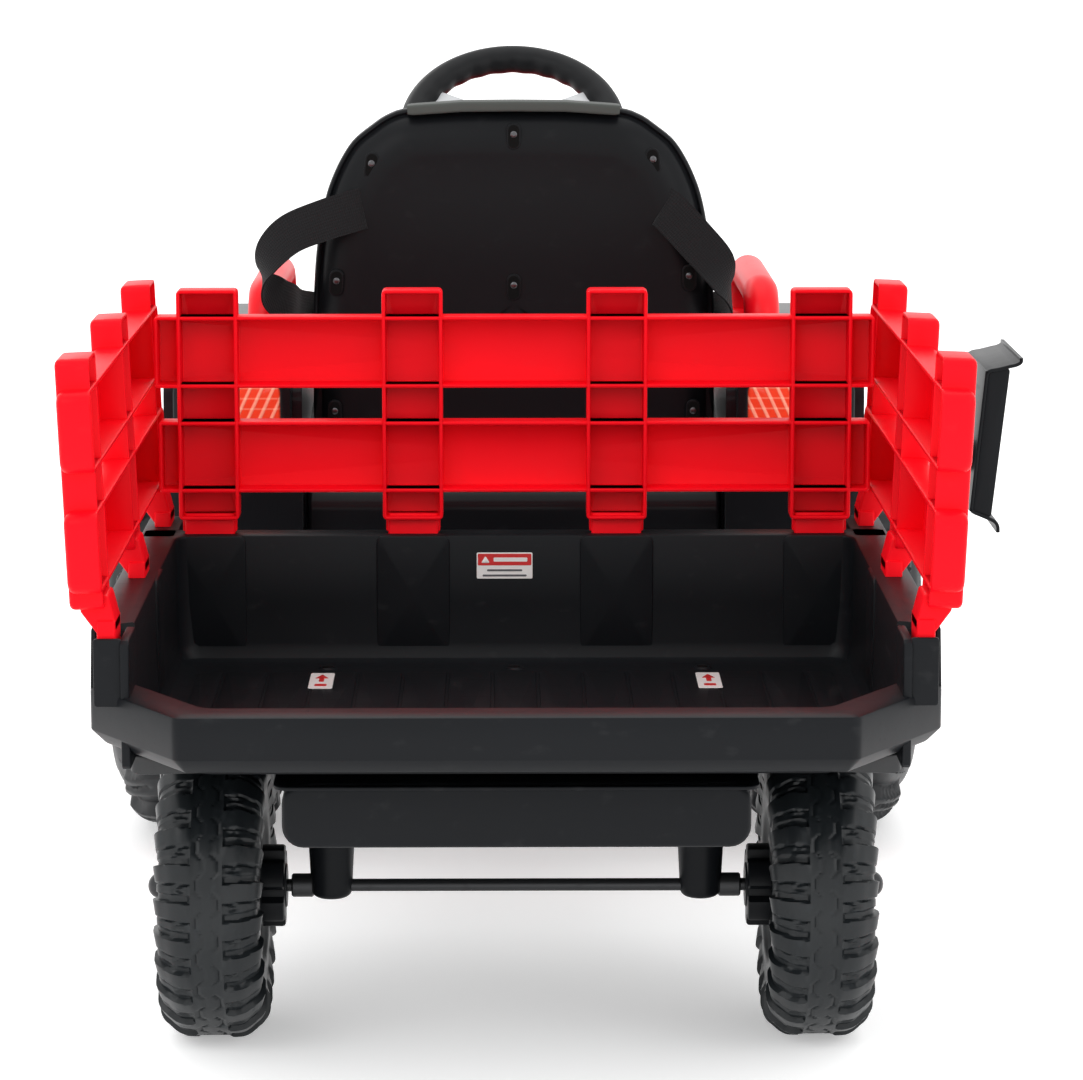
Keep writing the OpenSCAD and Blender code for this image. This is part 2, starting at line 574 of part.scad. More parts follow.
// ---- road wheels ----
module tyre_ring(r, w, hub_r, t) difference() {
    polygon([[hub_r, -w / 2 + 6], [hub_r + 4, -w / 2], [r - 0.2 * w, -w / 2], [r - 4, -w * 0.36], [r, -w * 0.2],
        [r, w * 0.2], [r - 4, w * 0.36], [r - 0.2 * w, w / 2], [hub_r + 4, w / 2], [hub_r, w / 2 - 6]]);
    polygon([[hub_r + t, -w / 2 + t], [r - 0.2 * w, -w / 2 + t], [r - t, -w * 0.2], [r - t, w * 0.2],
        [r - 0.2 * w, w / 2 - t], [hub_r + t, w / 2 - t]]);
}
module hub_drum(r, w, bore) difference() {
    polygon([[bore, -w / 2 + 12], [r, -w / 2 + 6], [r, w / 2 - 6], [r - 8, w / 2 - 10], [r * 0.45, w / 2 - 10],
        [r * 0.4, w / 2], [bore, w / 2]]);
    polygon([[r * 0.4, -w / 2 + 16], [r - 4, -w / 2 + 11], [r - 4, w / 2 - 14], [r * 0.4, w / 2 - 14]]);
}
module rear_tyre() wheel_at(-rear_over / 2 + rear_w / 2, ra_y, ra_z) tyre_ring(ra_z, rear_w, 82, 5);
module rear_hub() wheel_at(-rear_over / 2 + rear_w / 2, ra_y, ra_z) rotate(0) mirror([0, 1]) hub_drum(82, rear_w, 7);
module front_tyre() wheel_at(-fw_in - front_w / 2, fa_y, fa_z) tyre_ring(fa_z, front_w, 62, 5);
module front_hub() wheel_at(-fw_in - front_w / 2, fa_y, fa_z) mirror([0, 1]) hub_drum(62, front_w - 6, 6.06);
module rear_tyre_left() color(black) place() rear_tyre();
module rear_tyre_right() color(black) place() right_of() rear_tyre();
module rear_hub_left() color(steel) place() rear_hub();
module rear_hub_right() color(steel) place() right_of() rear_hub();
module front_tyre_left() color(black) place() front_tyre();
module front_tyre_right() color(black) place() right_of() front_tyre();
module front_hub_left() color(steel) place() front_hub();
module front_hub_right() color(steel) place() right_of() front_hub();

// ---- pedal drive ----
// toothed wheel drawn flat
module cog(teeth, r) difference() {
    circle(r + 3);
    for (i = [0 : teeth - 1]) rotate(i * 360 / teeth) translate([r + 1.2, 0]) circle(3.9, $fn = 16);
}
module rear_shaft() color(steel) place() {
    rod_x(-rear_over / 2 + 2, rear_over / 2 - 2, ra_y, ra_z, 7);
    along_x(chain_x - 1.5, chain_x + 1.5) translate([ra_y, ra_z]) rotate(-90) cog(teeth_rear, cog_r);
    rod_x(chain_x, chain_x + 14, ra_y, ra_z, 14);
}
module chain_wheel() color(steel) place() difference() {
    along_x(chain_x - 1.5, chain_x + 1.5) translate([crank_y, crank_z]) cog(teeth_front, ring_r);
    rod_x(chain_x - 5, chain_x + 5, crank_y, crank_z, 7);
    for (a = [30 : 60 : 330]) rod_x(chain_x - 5, chain_x + 5, crank_y + 27 * cos(a), crank_z + 27 * sin(a), 8);
}
module crank() color(steel) place() {
    rod_x(-arm_x - 4, arm_x + 4, crank_y, crank_z, 7);
    for (s = [-1, 1]) {
        span([s * arm_x - 4, crank_y - 9, crank_z + (s < 0 ? 0 : -crank_r)],
            [s * arm_x + 4, crank_y + 9, crank_z + (s < 0 ? crank_r : 0)]);
        rod_x(s * arm_x - 4, s * arm_x + 4, crank_y, crank_z, 13);
        rod_x(s * arm_x - 4, s * arm_x + 4, crank_y, crank_z - s * crank_r, 10);
        rod_x(s * pedal_x - 30, s * pedal_x + 30, crank_y, crank_z - s * crank_r, 4);
    }
}
module pedal(s) difference() {
    translate([s * pedal_x, crank_y, crank_z - s * crank_r]) rotate([0, 90, 0]) translate([0, 0, -25])
        linear_extrude(50) round_rect(20, 52, 6);
    rod_x(s * pedal_x - 60, s * pedal_x + 60, crank_y, crank_z - s * crank_r, 4.06);
}
module pedal_left() color(black) place() pedal(-1);
module pedal_right() color(black) place() pedal(1);
// closed loop round both toothed wheels, big end first
module loop_outline(r1, r2) {
    dy = crank_dy;
    dz = crank_z - ra_z;
    l = sqrt(dy * dy + dz * dz);
    a = asin((r1 - r2) / l);
    translate([ra_y, ra_z]) rotate(atan2(dz, dy)) polygon(concat(
        [for (t = [0 : 24]) let (b = -90 - a + t * (180 + 2 * a) / 24) [l + r1 * cos(b), r1 * sin(b)]],
        [for (t = [0 : 16]) let (b = 90 + a + t * (180 - 2 * a) / 16) [r2 * cos(b), r2 * sin(b)]]));
}
module chain() color(steel) place() difference() {
    along_x(chain_x - 3.2, chain_x + 3.2) loop_outline(ring_r + 7.6, cog_r + 7.6);
    along_x(chain_x - 4, chain_x + 4) loop_outline(ring_r + 3.6, cog_r + 3.6);
}
module chain_guard() color(black) place() {
    difference() {
        along_x(chain_x - 12, chain_x + 9) loop_outline(ring_r + 12, cog_r + 12);
        along_x(chain_x - 9, chain_x + 10) loop_outline(ring_r + 9.5, cog_r + 9.5);
        rod_x(chain_x - 20, chain_x, ra_y, ra_z, 12);
        rod_x(chain_x - 20, chain_x, crank_y, crank_z, 12);
    }
    // brackets to the beam
    for (y = [ra_y + 90, ra_y + 130]) span([chain_x + 6, y - 6, ra_z + 4], [-30, y + 6, ra_z + 12]);
    difference() {
        along_x(chain_x + 6, chain_x + 9) loop_outline(ring_r + 11, cog_r + 11);
        along_x(chain_x + 5, chain_x + 10) translate([ra_y - 40, ra_z - 140]) square([80, 320]);
        along_x(chain_x + 5, chain_x + 10) translate([crank_y - 90, ra_z - 140]) square([280, 320]);
    }
}

// ---- digger ----
module swing_head() color(steel) place() translate([0, post_y, boom_z]) {
    translate([0, 0, -76]) cylinder(r = 8, h = 50);
    difference() {
        translate([0, 0, -27.7]) cylinder(r = 20, h = 46);
        translate([10, -13.5, -20]) cube([60, 27, 60]);
    }
    for (s = [-1, 1]) span([0, s * 17 - 3, -20], [48, s * 17 + 3, 18]);
    rod_y(-21, 21, 36, 0, 5);
}
module boom() color(grey) place() translate([0, post_y, boom_z]) difference() {
    union() {
        along_y(-13, 13) polygon([[28, -9], [60, -13], [200, -16], [boom_reach - 34, -12], [boom_reach - 26, -30],
            [boom_reach - 13, -103], [boom_reach + 11, -103], [boom_reach + 4, -14], [boom_reach - 4, 14],
            [200, 16], [60, 13], [28, 9]]);
        rod_y(-13, 13, 36, 0, 12);
        rod_y(-13, 13, boom_reach, -103, 12);
    }
    rod_y(-30, 30, 36, 0, 5.06);
    rod_y(-30, 30, boom_reach, -103, 4.06);
}
module bucket() color(black) place() translate([boom_reach, post_y, boom_z - 103]) {
    h = bucket_h / 2;
    m = 12;
    difference() {
        along_y(-bucket_w / 2, bucket_w / 2) polygon([[72, m + h], [42, m + h - 6], [33, m + h - 18], [33, m - h + 18],
            [42, m - h + 6], [66, m - h - 2]]);
        along_y(-bucket_w / 2 + 3.5, bucket_w / 2 - 3.5) polygon([[80, m + h - 1], [44, m + h - 10],
            [37, m + h - 20], [37, m - h + 20], [44, m - h + 10], [80, m - h + 1]]);
        along_y(-bucket_w / 2 - 1, bucket_w / 2 + 1) polygon([[72.5, m + h + 4], [60, m + h - 8],
            [56, m - h + 8], [66.5, m - h - 6], [90, m - h], [90, m + h]]);
    }
    for (s = [0, 1]) along_y(-bucket_w / 2, bucket_w / 2) polygon(s ?
        [[56, m + h - 3.2], [78, m + h + 6], [79, m + h + 2], [57, m + h - 7.5]] :
        [[54, m - h + 2], [74, m - h - 5], [75, m - h - 1], [55, m - h + 6]]);
    // hinge ears
    for (s = [-1, 1]) along_y(s * 17 - 3, s * 17 + 3) { circle(11); translate([0, -11]) square([36, 22]); }
    rod_y(-21, 21, 0, 0, 4);
}

trailer_tub();
belly_box();
axle_posts();
axle_rod();
tow_bar();
cargo_labels();
trailer_tyre_left();
trailer_tyre_right();
hub_knob_left();
hub_knob_right();
fence_front();
fence_left();
fence_right();
chassis_beam();
rear_body();
fender_left();
fender_right();
tail_light_left();
tail_light_right();
grab_handle_left();
grab_handle_right();
seat_shell();
seat_trim();
seat_screws();
belt_left();
belt_right();
belt_buckle();
hood();
grille();
headlights();
cowl();
column_housing();
front_bumper();
front_axle_beam();
hitch_bracket();
chain_guard();
chain();
swing_post();
rear_shaft();
rear_tyre_left();
rear_tyre_right();
rear_hub_left();
rear_hub_right();
crank();
chain_wheel();
pedal_left();
pedal_right();
steering_rim();
steering_spokes();
knuckle_left();
knuckle_right();
tie_rod();
front_tyre_left();
front_tyre_right();
front_hub_left();
front_hub_right();
swing_head();
boom();
bucket();
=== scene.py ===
"""Looks of a child's pedal tractor kart that pulls a small stake-sided trailer.

Metres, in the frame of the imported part: the middle of the trailer's load floor is the origin,
+Y is forward and +Z is up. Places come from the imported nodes' boxes.
"""
import json
import math

import bmesh
import bpy
import numpy as np
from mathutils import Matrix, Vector


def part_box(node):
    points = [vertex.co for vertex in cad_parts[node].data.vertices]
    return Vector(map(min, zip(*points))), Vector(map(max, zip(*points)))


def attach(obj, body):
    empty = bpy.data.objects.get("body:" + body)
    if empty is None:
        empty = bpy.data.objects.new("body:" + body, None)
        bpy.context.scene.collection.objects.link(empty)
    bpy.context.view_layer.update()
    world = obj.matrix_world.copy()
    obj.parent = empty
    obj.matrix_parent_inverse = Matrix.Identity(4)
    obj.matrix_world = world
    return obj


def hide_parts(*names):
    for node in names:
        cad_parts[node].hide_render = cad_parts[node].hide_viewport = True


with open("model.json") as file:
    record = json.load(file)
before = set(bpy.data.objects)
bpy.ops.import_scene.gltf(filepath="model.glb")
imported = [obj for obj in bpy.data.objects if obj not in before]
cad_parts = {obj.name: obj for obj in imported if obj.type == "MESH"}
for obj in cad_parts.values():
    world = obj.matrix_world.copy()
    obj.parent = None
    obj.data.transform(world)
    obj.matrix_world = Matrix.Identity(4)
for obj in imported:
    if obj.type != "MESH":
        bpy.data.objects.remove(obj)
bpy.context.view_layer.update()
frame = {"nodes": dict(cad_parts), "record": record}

TAU = 2 * math.pi
MM = 0.001
NODE_BODY = {n: b for b, names in frame["record"]["behaviour"]["bodies"].items() for n in names}
NODE_SLOT = {s["node"]: s["material_slot"] for s in frame["record"]["subparts"]}


def low(node):
    return np.array(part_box(node)[0])


def high(node):
    return np.array(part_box(node)[1])


def middle(node):
    return (low(node) + high(node)) / 2


# ---------------------------------------------------------------- sizes taken from the frame
GROUND = low("rear_tyre_left")[2]
HALF = high("trailer_tub")[0]
LIP_Y = low("trailer_tub")[1]
RIM = high("trailer_tub")[2]
FLOOR = 0.0
LIP_Z = RIM - 35 * MM
TUB_FRONT = LIP_Y + 449 * MM
WALL = 25 * MM
LIP_D = 28 * MM
CUT_X = 57.5 * MM
CUT_Y = 86.5 * MM
SKIRT = FLOOR + 17 * MM
RAMP_Y = LIP_Y + 93 * MM
RAMP_H = 16 * MM


# ---------------------------------------------------------------- camera
def add_camera():
    """Stands well back behind the trailer, a little above the rim, with a long lens."""
    lens = bpy.data.cameras.new("camera")
    lens.lens = 133.02
    lens.sensor_width = 36
    cam = bpy.data.objects.new("camera", lens)
    cam.location = (-0.0067, LIP_Y - 2.2599, GROUND + 0.7384)
    cam.rotation_euler = (math.radians(90 - 9.68), 0, math.radians(-0.53))
    bpy.context.scene.collection.objects.link(cam)
    bpy.context.scene.camera = cam


add_camera()
bpy.context.scene.view_settings.view_transform = "Standard"


# ---------------------------------------------------------------- paints
class Val:
    """A number running through a material; the usual operators add its Math nodes."""

    def __init__(self, paint, socket):
        self.paint = paint
        self.socket = socket

    def math(self, operation, *others):
        return self.paint.node("ShaderNodeMath", {"operation": operation}, {0: self, **dict(enumerate(others, 1))})

    def __add__(self, other):
        return self.math("ADD", other)

    def __sub__(self, other):
        return self.math("SUBTRACT", other)

    def __mul__(self, other):
        return self.math("MULTIPLY", other)

    def __truediv__(self, other):
        return self.math("DIVIDE", other)

    def __rsub__(self, other):
        return self.paint.node("ShaderNodeMath", {"operation": "SUBTRACT"}, {0: other, 1: self})

    def __rtruediv__(self, other):
        return self.paint.node("ShaderNodeMath", {"operation": "DIVIDE"}, {0: other, 1: self})

    __radd__ = __add__
    __rmul__ = __mul__

    def sin(self):
        return self.math("SINE")

    def frac(self):
        return self.math("FRACT")

    def abs(self):
        return self.math("ABSOLUTE")

    def over(self, edge):
        return self.math("GREATER_THAN", edge)

    def under(self, edge):
        return self.math("LESS_THAN", edge)

    def ramp(self, start, end):
        """0 below start, 1 above end, smooth between."""
        return self.paint.node("ShaderNodeMapRange", {"interpolation_type": "SMOOTHSTEP"}, {0: self, 1: start, 2: end})


class Paint:
    """One material in the making. node() adds any node: its type, its settings, then its sockets."""

    def __init__(self, name, **skin):
        self.material = bpy.data.materials.new(name)
        self.material.use_nodes = True
        self.tree = self.material.node_tree
        self.skin = self.tree.nodes["Principled BSDF"]
        for key, value in skin.items():
            self.skin.inputs[key.replace("_", " ")].default_value = value
        place = self.tree.nodes.new("ShaderNodeTexCoord")
        self.place = Val(self, place.outputs["Object"])

    def node(self, kind, settings=None, sockets=None, out=0):
        made = self.tree.nodes.new(kind)
        for key, value in (settings or {}).items():
            setattr(made, key, value)
        for key, value in (sockets or {}).items():
            self.join(made.inputs[key], value)
        return Val(self, made.outputs[out])

    def join(self, socket, value):
        if isinstance(value, Val):
            self.tree.links.new(value.socket, socket)
        else:
            socket.default_value = value

    def feed(self, **sockets):
        for key, value in sockets.items():
            self.join(self.skin.inputs[key.replace("_", " ")], value)

    def noise(self, scale, detail=2.0, stretch=(1, 1, 1)):
        at = self.node("ShaderNodeMapping", None, {"Vector": self.place, "Scale": stretch})
        return self.node("ShaderNodeTexNoise", None, {"Vector": at, "Scale": scale, "Detail": detail})

    def axes(self):
        return [self.node("ShaderNodeSeparateXYZ", None, {0: self.place}, k) for k in range(3)]

    def along(self, name):
        return self.node("ShaderNodeAttribute", {"attribute_name": name}, None, 2)

    def blend(self, amount, first, second):
        """Mixes two colours by amount."""
        ends = {6: first, 7: second}
        ends = {key: c if isinstance(c, Val) else (*c, 1.0) for key, c in ends.items()}
        return self.node("ShaderNodeMix", {"data_type": "RGBA"}, {"Factor": amount, **ends}, 2)

    def relief(self, height, depth, under=None):
        """Bump of the given depth in metres; under is a relief below it."""
        sockets = {"Height": height, "Distance": depth, "Strength": 1.0}
        if under is not None:
            sockets["Normal"] = under
        return self.node("ShaderNodeBump", None, sockets)


def tint(colour, k):
    return tuple(min(1.0, c * k) for c in colour)


def moulded(name, colour, rough, grain=1400.0, depth=0.00002, wear=0.5, coat=0.0, shine=0.13):
    """Moulded plastic: an even colour with slow drift, fine spark grain, scuffs and a soft ripple."""
    p = Paint(name, Specular_IOR_Level=shine, Coat_Weight=coat, Coat_Roughness=0.15)
    drift = p.noise(7.0, 3.0)
    scuff = p.noise(60.0, 8.0, (1.0, 0.25, 1.6)).ramp(0.60, 0.74) * wear
    hair = p.noise(420.0, 4.0, (0.06, 1.0, 1.0)).ramp(0.62, 0.72) * wear
    body = p.blend(drift, tint(colour, 0.86), tint(colour, 1.14))
    worn = p.blend(scuff * 0.10, body, tuple(0.6 * c + 0.08 for c in colour))
    p.feed(Base_Color=worn, Roughness=drift * 0.10 + (rough - 0.05) + scuff * 0.10 + hair * 0.08)
    ripple = p.relief(p.noise(38.0, 2.0), 0.00016)
    p.feed(Normal=p.relief(p.noise(grain, 2.0) + hair * 0.4, depth, ripple))
    return p.material


def bare_metal(name, colour, rough, metallic=1.0):
    """Drawn or coated steel: fine lines along its length, dull spots."""
    p = Paint(name, Metallic=metallic)
    lines = p.noise(900.0, 3.0, (0.05, 1.0, 1.0))
    spots = p.noise(90.0, 5.0).ramp(0.55, 0.75)
    p.feed(
        Base_Color=p.blend(spots * 0.5, colour, tint(colour, 0.62)),
        Roughness=lines * 0.16 + (rough - 0.08) + spots * 0.14,
        Normal=p.relief(lines, 0.00001),
    )
    return p.material


def webbing(name, colour):
    """Woven strap: ribs across the strap crossed by pairs of threads along it; its colour follows the weave's height
    as painted shade between the threads and painted highlight on them, plus random fibre fuzz.
    """
    p = Paint(name, Specular_IOR_Level=0.2, Sheen_Weight=0.06, Sheen_Roughness=0.4)
    ribs = (p.along("along") * (TAU / 0.0016)).sin() * 0.5 + 0.5
    threads = (p.along("across") * (TAU / 0.0022)).sin() * 0.5 + 0.5
    weave_and_shade = ribs * 0.6 + threads * 0.4
    fuzz = p.noise(2500.0, 3.0)
    # Painted shade and highlight: the colour is darker between the threads and lighter on them; the fuzz is random
    # fibre tone.
    p.feed(
        Base_Color=p.blend(weave_and_shade * 0.6 + fuzz * 0.4, tint(colour, 0.5), tint(colour, 1.9)),
        Roughness=fuzz * 0.15 + 0.72,
        Normal=p.relief(weave_and_shade + fuzz * 0.3, 0.0003),
    )
    return p.material


def lamp_lens(name, deep, pale, pitch):
    """Clear coloured lens over slanting reflector bars, with painted highlights on the bars' edges and rows and a
    faint painted glow in the same colours.
    """
    # Emission_Strength 0.22 is a painted glow: these lenses are no lamps.
    p = Paint(name, Coat_Weight=0.6, Coat_Roughness=0.06, Roughness=0.22, Emission_Strength=0.22)
    x, _, z = p.axes()
    bars = ((x.abs() * 0.9 + z * 0.42) * (1 / pitch)).frac()
    edge = (bars - 0.5).abs().ramp(0.28, 0.46)
    rows = (z * (1 / pitch)).frac()
    glint = edge * 0.75 + (rows - 0.5).abs().ramp(0.36, 0.5) * 0.35
    # Painted highlight: glint blends the pale colour onto the bars' edges and rows, and the same colour feeds the
    # painted glow.
    colour = p.blend(glint, deep, pale)
    p.feed(Base_Color=colour, Emission_Color=colour)
    p.feed(Normal=p.relief(edge, 0.0006))
    return p.material


def tyre_plastic(name, colour, rough):
    """Hard blown tyre plastic: dense speckle, soft swirl and paler rubbed tops."""
    p = Paint(name, Specular_IOR_Level=0.32)
    swirl = p.noise(30.0, 5.0)
    speck = p.noise(1500.0, 3.0)
    rub = p.noise(120.0, 6.0).ramp(0.58, 0.72)
    p.feed(
        Base_Color=p.blend(rub * 0.45 + speck * 0.12, colour, tint(colour, 2.2)),
        Roughness=swirl * 0.16 + (rough - 0.08) + rub * 0.14,
    )
    p.feed(Normal=p.relief(speck, 0.00003, p.relief(swirl, 0.0004)))
    return p.material


def printed_film(name, colour):
    """Glossy sticker film, slightly rippled."""
    p = Paint(name, Coat_Weight=0.3, Coat_Roughness=0.2)
    ripple = p.noise(120.0, 2.0)
    p.feed(Base_Color=p.blend(ripple, tint(colour, 0.94), colour), Roughness=ripple * 0.1 + 0.35)
    p.feed(Normal=p.relief(ripple, 0.00006))
    return p.material


RED = (0.86, 0.003, 0.011)
BLACK = (0.0056, 0.0064, 0.0078)
PAINTS = {
    "tub_black": moulded("tub_black", tint(BLACK, 1.1), 0.40, wear=0.7),
    "axle_steel": bare_metal("axle_steel", (0.035, 0.036, 0.038), 0.34, 0.6),
    "label_white": printed_film("label_white", (0.82, 0.82, 0.80)),
    "trailer_tyre": tyre_plastic("trailer_tyre", (0.0085, 0.0105, 0.0120), 0.36),
    "knob_black": moulded("knob_black", BLACK, 0.36, wear=0.3),
    "fence_red": moulded("fence_red", RED, 0.36, depth=0.00001, wear=0.25, shine=0.08),
    "frame_black": bare_metal("frame_black", (0.020, 0.021, 0.023), 0.42, 0.3),
    "body_black": moulded("body_black", BLACK, 0.30, depth=0.00001, wear=0.3, coat=0.08),
    "lamp_red": lamp_lens("lamp_red", (0.80, 0.055, 0.020), (1.0, 0.45, 0.30), 0.0075),
    "handle_red": moulded("handle_red", RED, 0.34, depth=0.00001, wear=0.2, shine=0.2),
    "seat_black": moulded("seat_black", tint(BLACK, 0.8), 0.40, wear=0.35),
    "seat_grey": moulded("seat_grey", (0.060, 0.066, 0.061), 0.55, grain=900.0, depth=0.00005, wear=0.3),
    "screw_steel": bare_metal("screw_steel", (0.10, 0.10, 0.105), 0.3),
    "webbing": webbing("webbing", (0.0062, 0.0062, 0.0070)),
    "buckle_grey": moulded("buckle_grey", (0.02, 0.02, 0.022), 0.32, wear=0.2),
    "hood_red": moulded("hood_red", RED, 0.26, depth=0.00001, wear=0.2, coat=0.15),
    "grille_black": moulded("grille_black", BLACK, 0.45, wear=0.2),
    "lamp_clear": lamp_lens("lamp_clear", (0.55, 0.58, 0.62), (0.95, 0.96, 1.0), 0.008),
    "chain_steel": bare_metal("chain_steel", (0.30, 0.30, 0.31), 0.32),
    "post_steel": bare_metal("post_steel", (0.022, 0.023, 0.025), 0.38, 0.3),
    "road_tyre": tyre_plastic("road_tyre", (0.0090, 0.0103, 0.0118), 0.40),
    "hub_grey": moulded("hub_grey", (0.36, 0.37, 0.38), 0.34, depth=0.00001, wear=0.3, coat=0.2),
    "pedal_black": moulded("pedal_black", BLACK, 0.5, grain=700.0, depth=0.00006, wear=0.6),
    "grip_black": moulded("grip_black", (0.010, 0.0105, 0.0115), 0.42, grain=800.0, depth=0.00004, wear=0.2),
    "spoke_silver": moulded("spoke_silver", (0.52, 0.53, 0.54), 0.30, depth=0.00001, wear=0.3, coat=0.3),
    "knuckle_steel": bare_metal("knuckle_steel", (0.18, 0.18, 0.19), 0.38),
    "boom_grey": moulded("boom_grey", (0.080, 0.087, 0.085), 0.42, wear=0.4),
    "bucket_black": moulded("bucket_black", BLACK, 0.34, wear=0.6),
    "mark_red": printed_film("mark_red", (0.62, 0.02, 0.02)),
    "mark_grey": printed_film("mark_grey", (0.10, 0.10, 0.11)),
    # Near-black paint for sheets of painted shade inside holes and slots.
    "painted_hole_shade": moulded("painted_hole_shade", (0.002, 0.002, 0.002), 0.8, wear=0.0),
}


# ---------------------------------------------------------------- mesh making
def grid_faces(rows, cols, round_rows=False, round_cols=True):
    """Quads of a grid of points, joined end to end where the grid is round."""
    i, j = np.meshgrid(
        np.arange(rows if round_rows else rows - 1),
        np.arange(cols if round_cols else cols - 1),
        indexing="ij",
    )
    i2, j2 = (i + 1) % rows, (j + 1) % cols
    return np.stack([i * cols + j, i * cols + j2, i2 * cols + j2, i2 * cols + j], -1).reshape(-1, 4)


def capped(grid):
    """Closes a stack of rings with a point at the middle of its first and last ring."""
    first = np.broadcast_to(grid[0].mean(0), grid[0].shape)
    last = np.broadcast_to(grid[-1].mean(0), grid[-1].shape)
    return np.concatenate([first[None], grid, last[None]])


def solid(grid, round_rows=False, caps=True):
    """Points and faces of a stack of rings (rows, around, 3)."""
    if caps and not round_rows:
        grid = capped(grid)
    return grid.reshape(-1, 3), grid_faces(grid.shape[0], grid.shape[1], round_rows, True)


def mirrored(bits):
    """The same bits on the other side of the centre line."""
    return [(p * (-1, 1, 1), f[:, ::-1]) for p, f in bits]


def make(name, bits, node=None, body=None, paint=None, replaces=(), corner=35, marks=None):
    """One object from bits of (points, faces); seams merged, faces outward, creases above corner."""
    points = np.concatenate([b[0] for b in bits])
    shift = np.cumsum([0] + [len(b[0]) for b in bits[:-1]])
    faces = [q for b, s in zip(bits, shift) for q in (np.asarray(b[1]) + s).tolist()]
    mesh = bpy.data.meshes.new(name)
    mesh.from_pydata(points.tolist(), [], faces)
    for key, values in (marks or {}).items():
        mesh.attributes.new(key, "FLOAT", "POINT").data.foreach_set("value", np.asarray(values, np.float32))
    work = bmesh.new()
    work.from_mesh(mesh)
    bmesh.ops.remove_doubles(work, verts=work.verts, dist=2e-6)
    bmesh.ops.dissolve_degenerate(work, edges=work.edges, dist=1e-6)
    bmesh.ops.recalc_face_normals(work, faces=work.faces)
    work.to_mesh(mesh)
    work.free()
    mesh.polygons.foreach_set("use_smooth", [True] * len(mesh.polygons))
    mesh.set_sharp_from_angle(angle=math.radians(corner))
    return settle(bpy.data.objects.new(name, mesh), node, body, paint, replaces)


def settle(piece, node=None, body=None, paint=None, replaces=()):
    """Links a piece, paints it (its slot's paint unless one is given), ties it to its body and hides the CAD nodes it
    replaces.
    """
    if piece.name not in bpy.context.scene.collection.objects:
        bpy.context.scene.collection.objects.link(piece)
    name = paint or NODE_SLOT[node]
    piece.data.materials.clear()
    piece.data.materials.append(PAINTS[name])
    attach(piece, body or NODE_BODY[node])
    if replaces is not None and (replaces or node):
        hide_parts(*(replaces or [node]))
    return piece


def eased(node, width, steps=3, angle=30, paint=None):
    """A copy of a CAD node with its edges eased to the given radius."""
    mesh = frame["nodes"][node].data.copy()
    piece = bpy.data.objects.new(node + "_eased", mesh)
    work = bmesh.new()
    work.from_mesh(mesh)
    bmesh.ops.remove_doubles(work, verts=work.verts, dist=2e-5)
    bmesh.ops.dissolve_limit(
        work, angle_limit=math.radians(0.6), verts=work.verts, edges=work.edges, delimit={"NORMAL"}
    )
    bmesh.ops.recalc_face_normals(work, faces=work.faces)
    work.to_mesh(mesh)
    work.free()
    mesh.polygons.foreach_set("use_smooth", [True] * len(mesh.polygons))
    mesh.set_sharp_from_angle(angle=math.radians(angle))
    bevel = piece.modifiers.new("eased", "BEVEL")
    bevel.width = width
    bevel.segments = steps
    bevel.limit_method = "ANGLE"
    bevel.angle_limit = math.radians(angle)
    bevel.miter_outer = "MITER_ARC"
    bevel.harden_normals = True
    return settle(piece, node, paint=paint)


def ring(corners, inset=0.0, radius=0.0, arc=5, runs=1):
    """Points round a convex counter-clockwise outline, moved in by inset (one number, or one for
    each side), with its corners rounded to radius; arc steps a corner, runs steps a side."""
    c = np.asarray(corners, float)
    n = len(c)
    inset = np.broadcast_to(np.asarray(inset, float), (n,))
    radius = np.maximum(np.broadcast_to(np.asarray(radius, float), (n,)), 1e-5)
    d = np.roll(c, -1, 0) - c
    d /= np.linalg.norm(d, axis=1)[:, None]
    inward = np.stack([-d[:, 1], d[:, 0]], 1)
    q = c + inward * inset[:, None]
    before, q_before, in_before = np.roll(d, 1, 0), np.roll(q, 1, 0), np.roll(inward, 1, 0)
    cross = before[:, 0] * d[:, 1] - before[:, 1] * d[:, 0]
    gap = q - q_before
    t = (gap[:, 0] * d[:, 1] - gap[:, 1] * d[:, 0]) / cross
    corner = q_before + before * t[:, None]
    turn = np.arctan2(cross, (before * d).sum(1))
    centre = corner - before * (radius * np.tan(turn / 2))[:, None] + in_before * radius[:, None]
    start = np.arctan2(-in_before[:, 1], -in_before[:, 0])
    angle = start[:, None] + turn[:, None] * np.linspace(0, 1, arc + 1)
    arcs = centre[:, None] + radius[:, None, None] * np.stack([np.cos(angle), np.sin(angle)], -1)
    share = np.linspace(0, 1, runs + 1)[1:-1][None, :, None]
    straight = arcs[:, -1:] * (1 - share) + np.roll(arcs[:, :1], -1, 0) * share
    return np.concatenate([arcs, straight], 1).reshape(-1, 2)


def box4(u0, v0, u1, v1):
    return [(u0, v0), (u1, v0), (u1, v1), (u0, v1)]


def up(u, v, h):
    """Outline in plan, height upwards."""
    return np.stack([u, v, h], -1)


def back(u, v, h):
    """Outline seen from behind (x, z), height forwards along y."""
    return np.stack([u, h, v], -1)


def side(u, v, h):
    """Outline seen from the side (y, z), height along x."""
    return np.stack([h, u, v], -1)


def stack(corners, rows, radius, way, arc=5, runs=1, least=0.0006):
    """A closed piece from one outline repeated at rows of (inset, height)."""
    rings = [ring(corners, i, max(radius - float(np.max(i)), least), arc, runs) for i, _ in rows]
    grid = np.stack([way(r[:, 0], r[:, 1], np.full(len(r), h)) for r, (_, h) in zip(rings, rows)])
    return solid(grid)


def round_edge(h_edge, h_face, r, steps=4):
    """Rows round an outer edge: the side ends at h_edge, the face is at h_face, r back from it."""
    a = np.linspace(0, math.pi / 2, steps + 1)
    return [(r * (1 - math.cos(t)), h_edge + (h_face - h_edge) * math.sin(t)) for t in a]


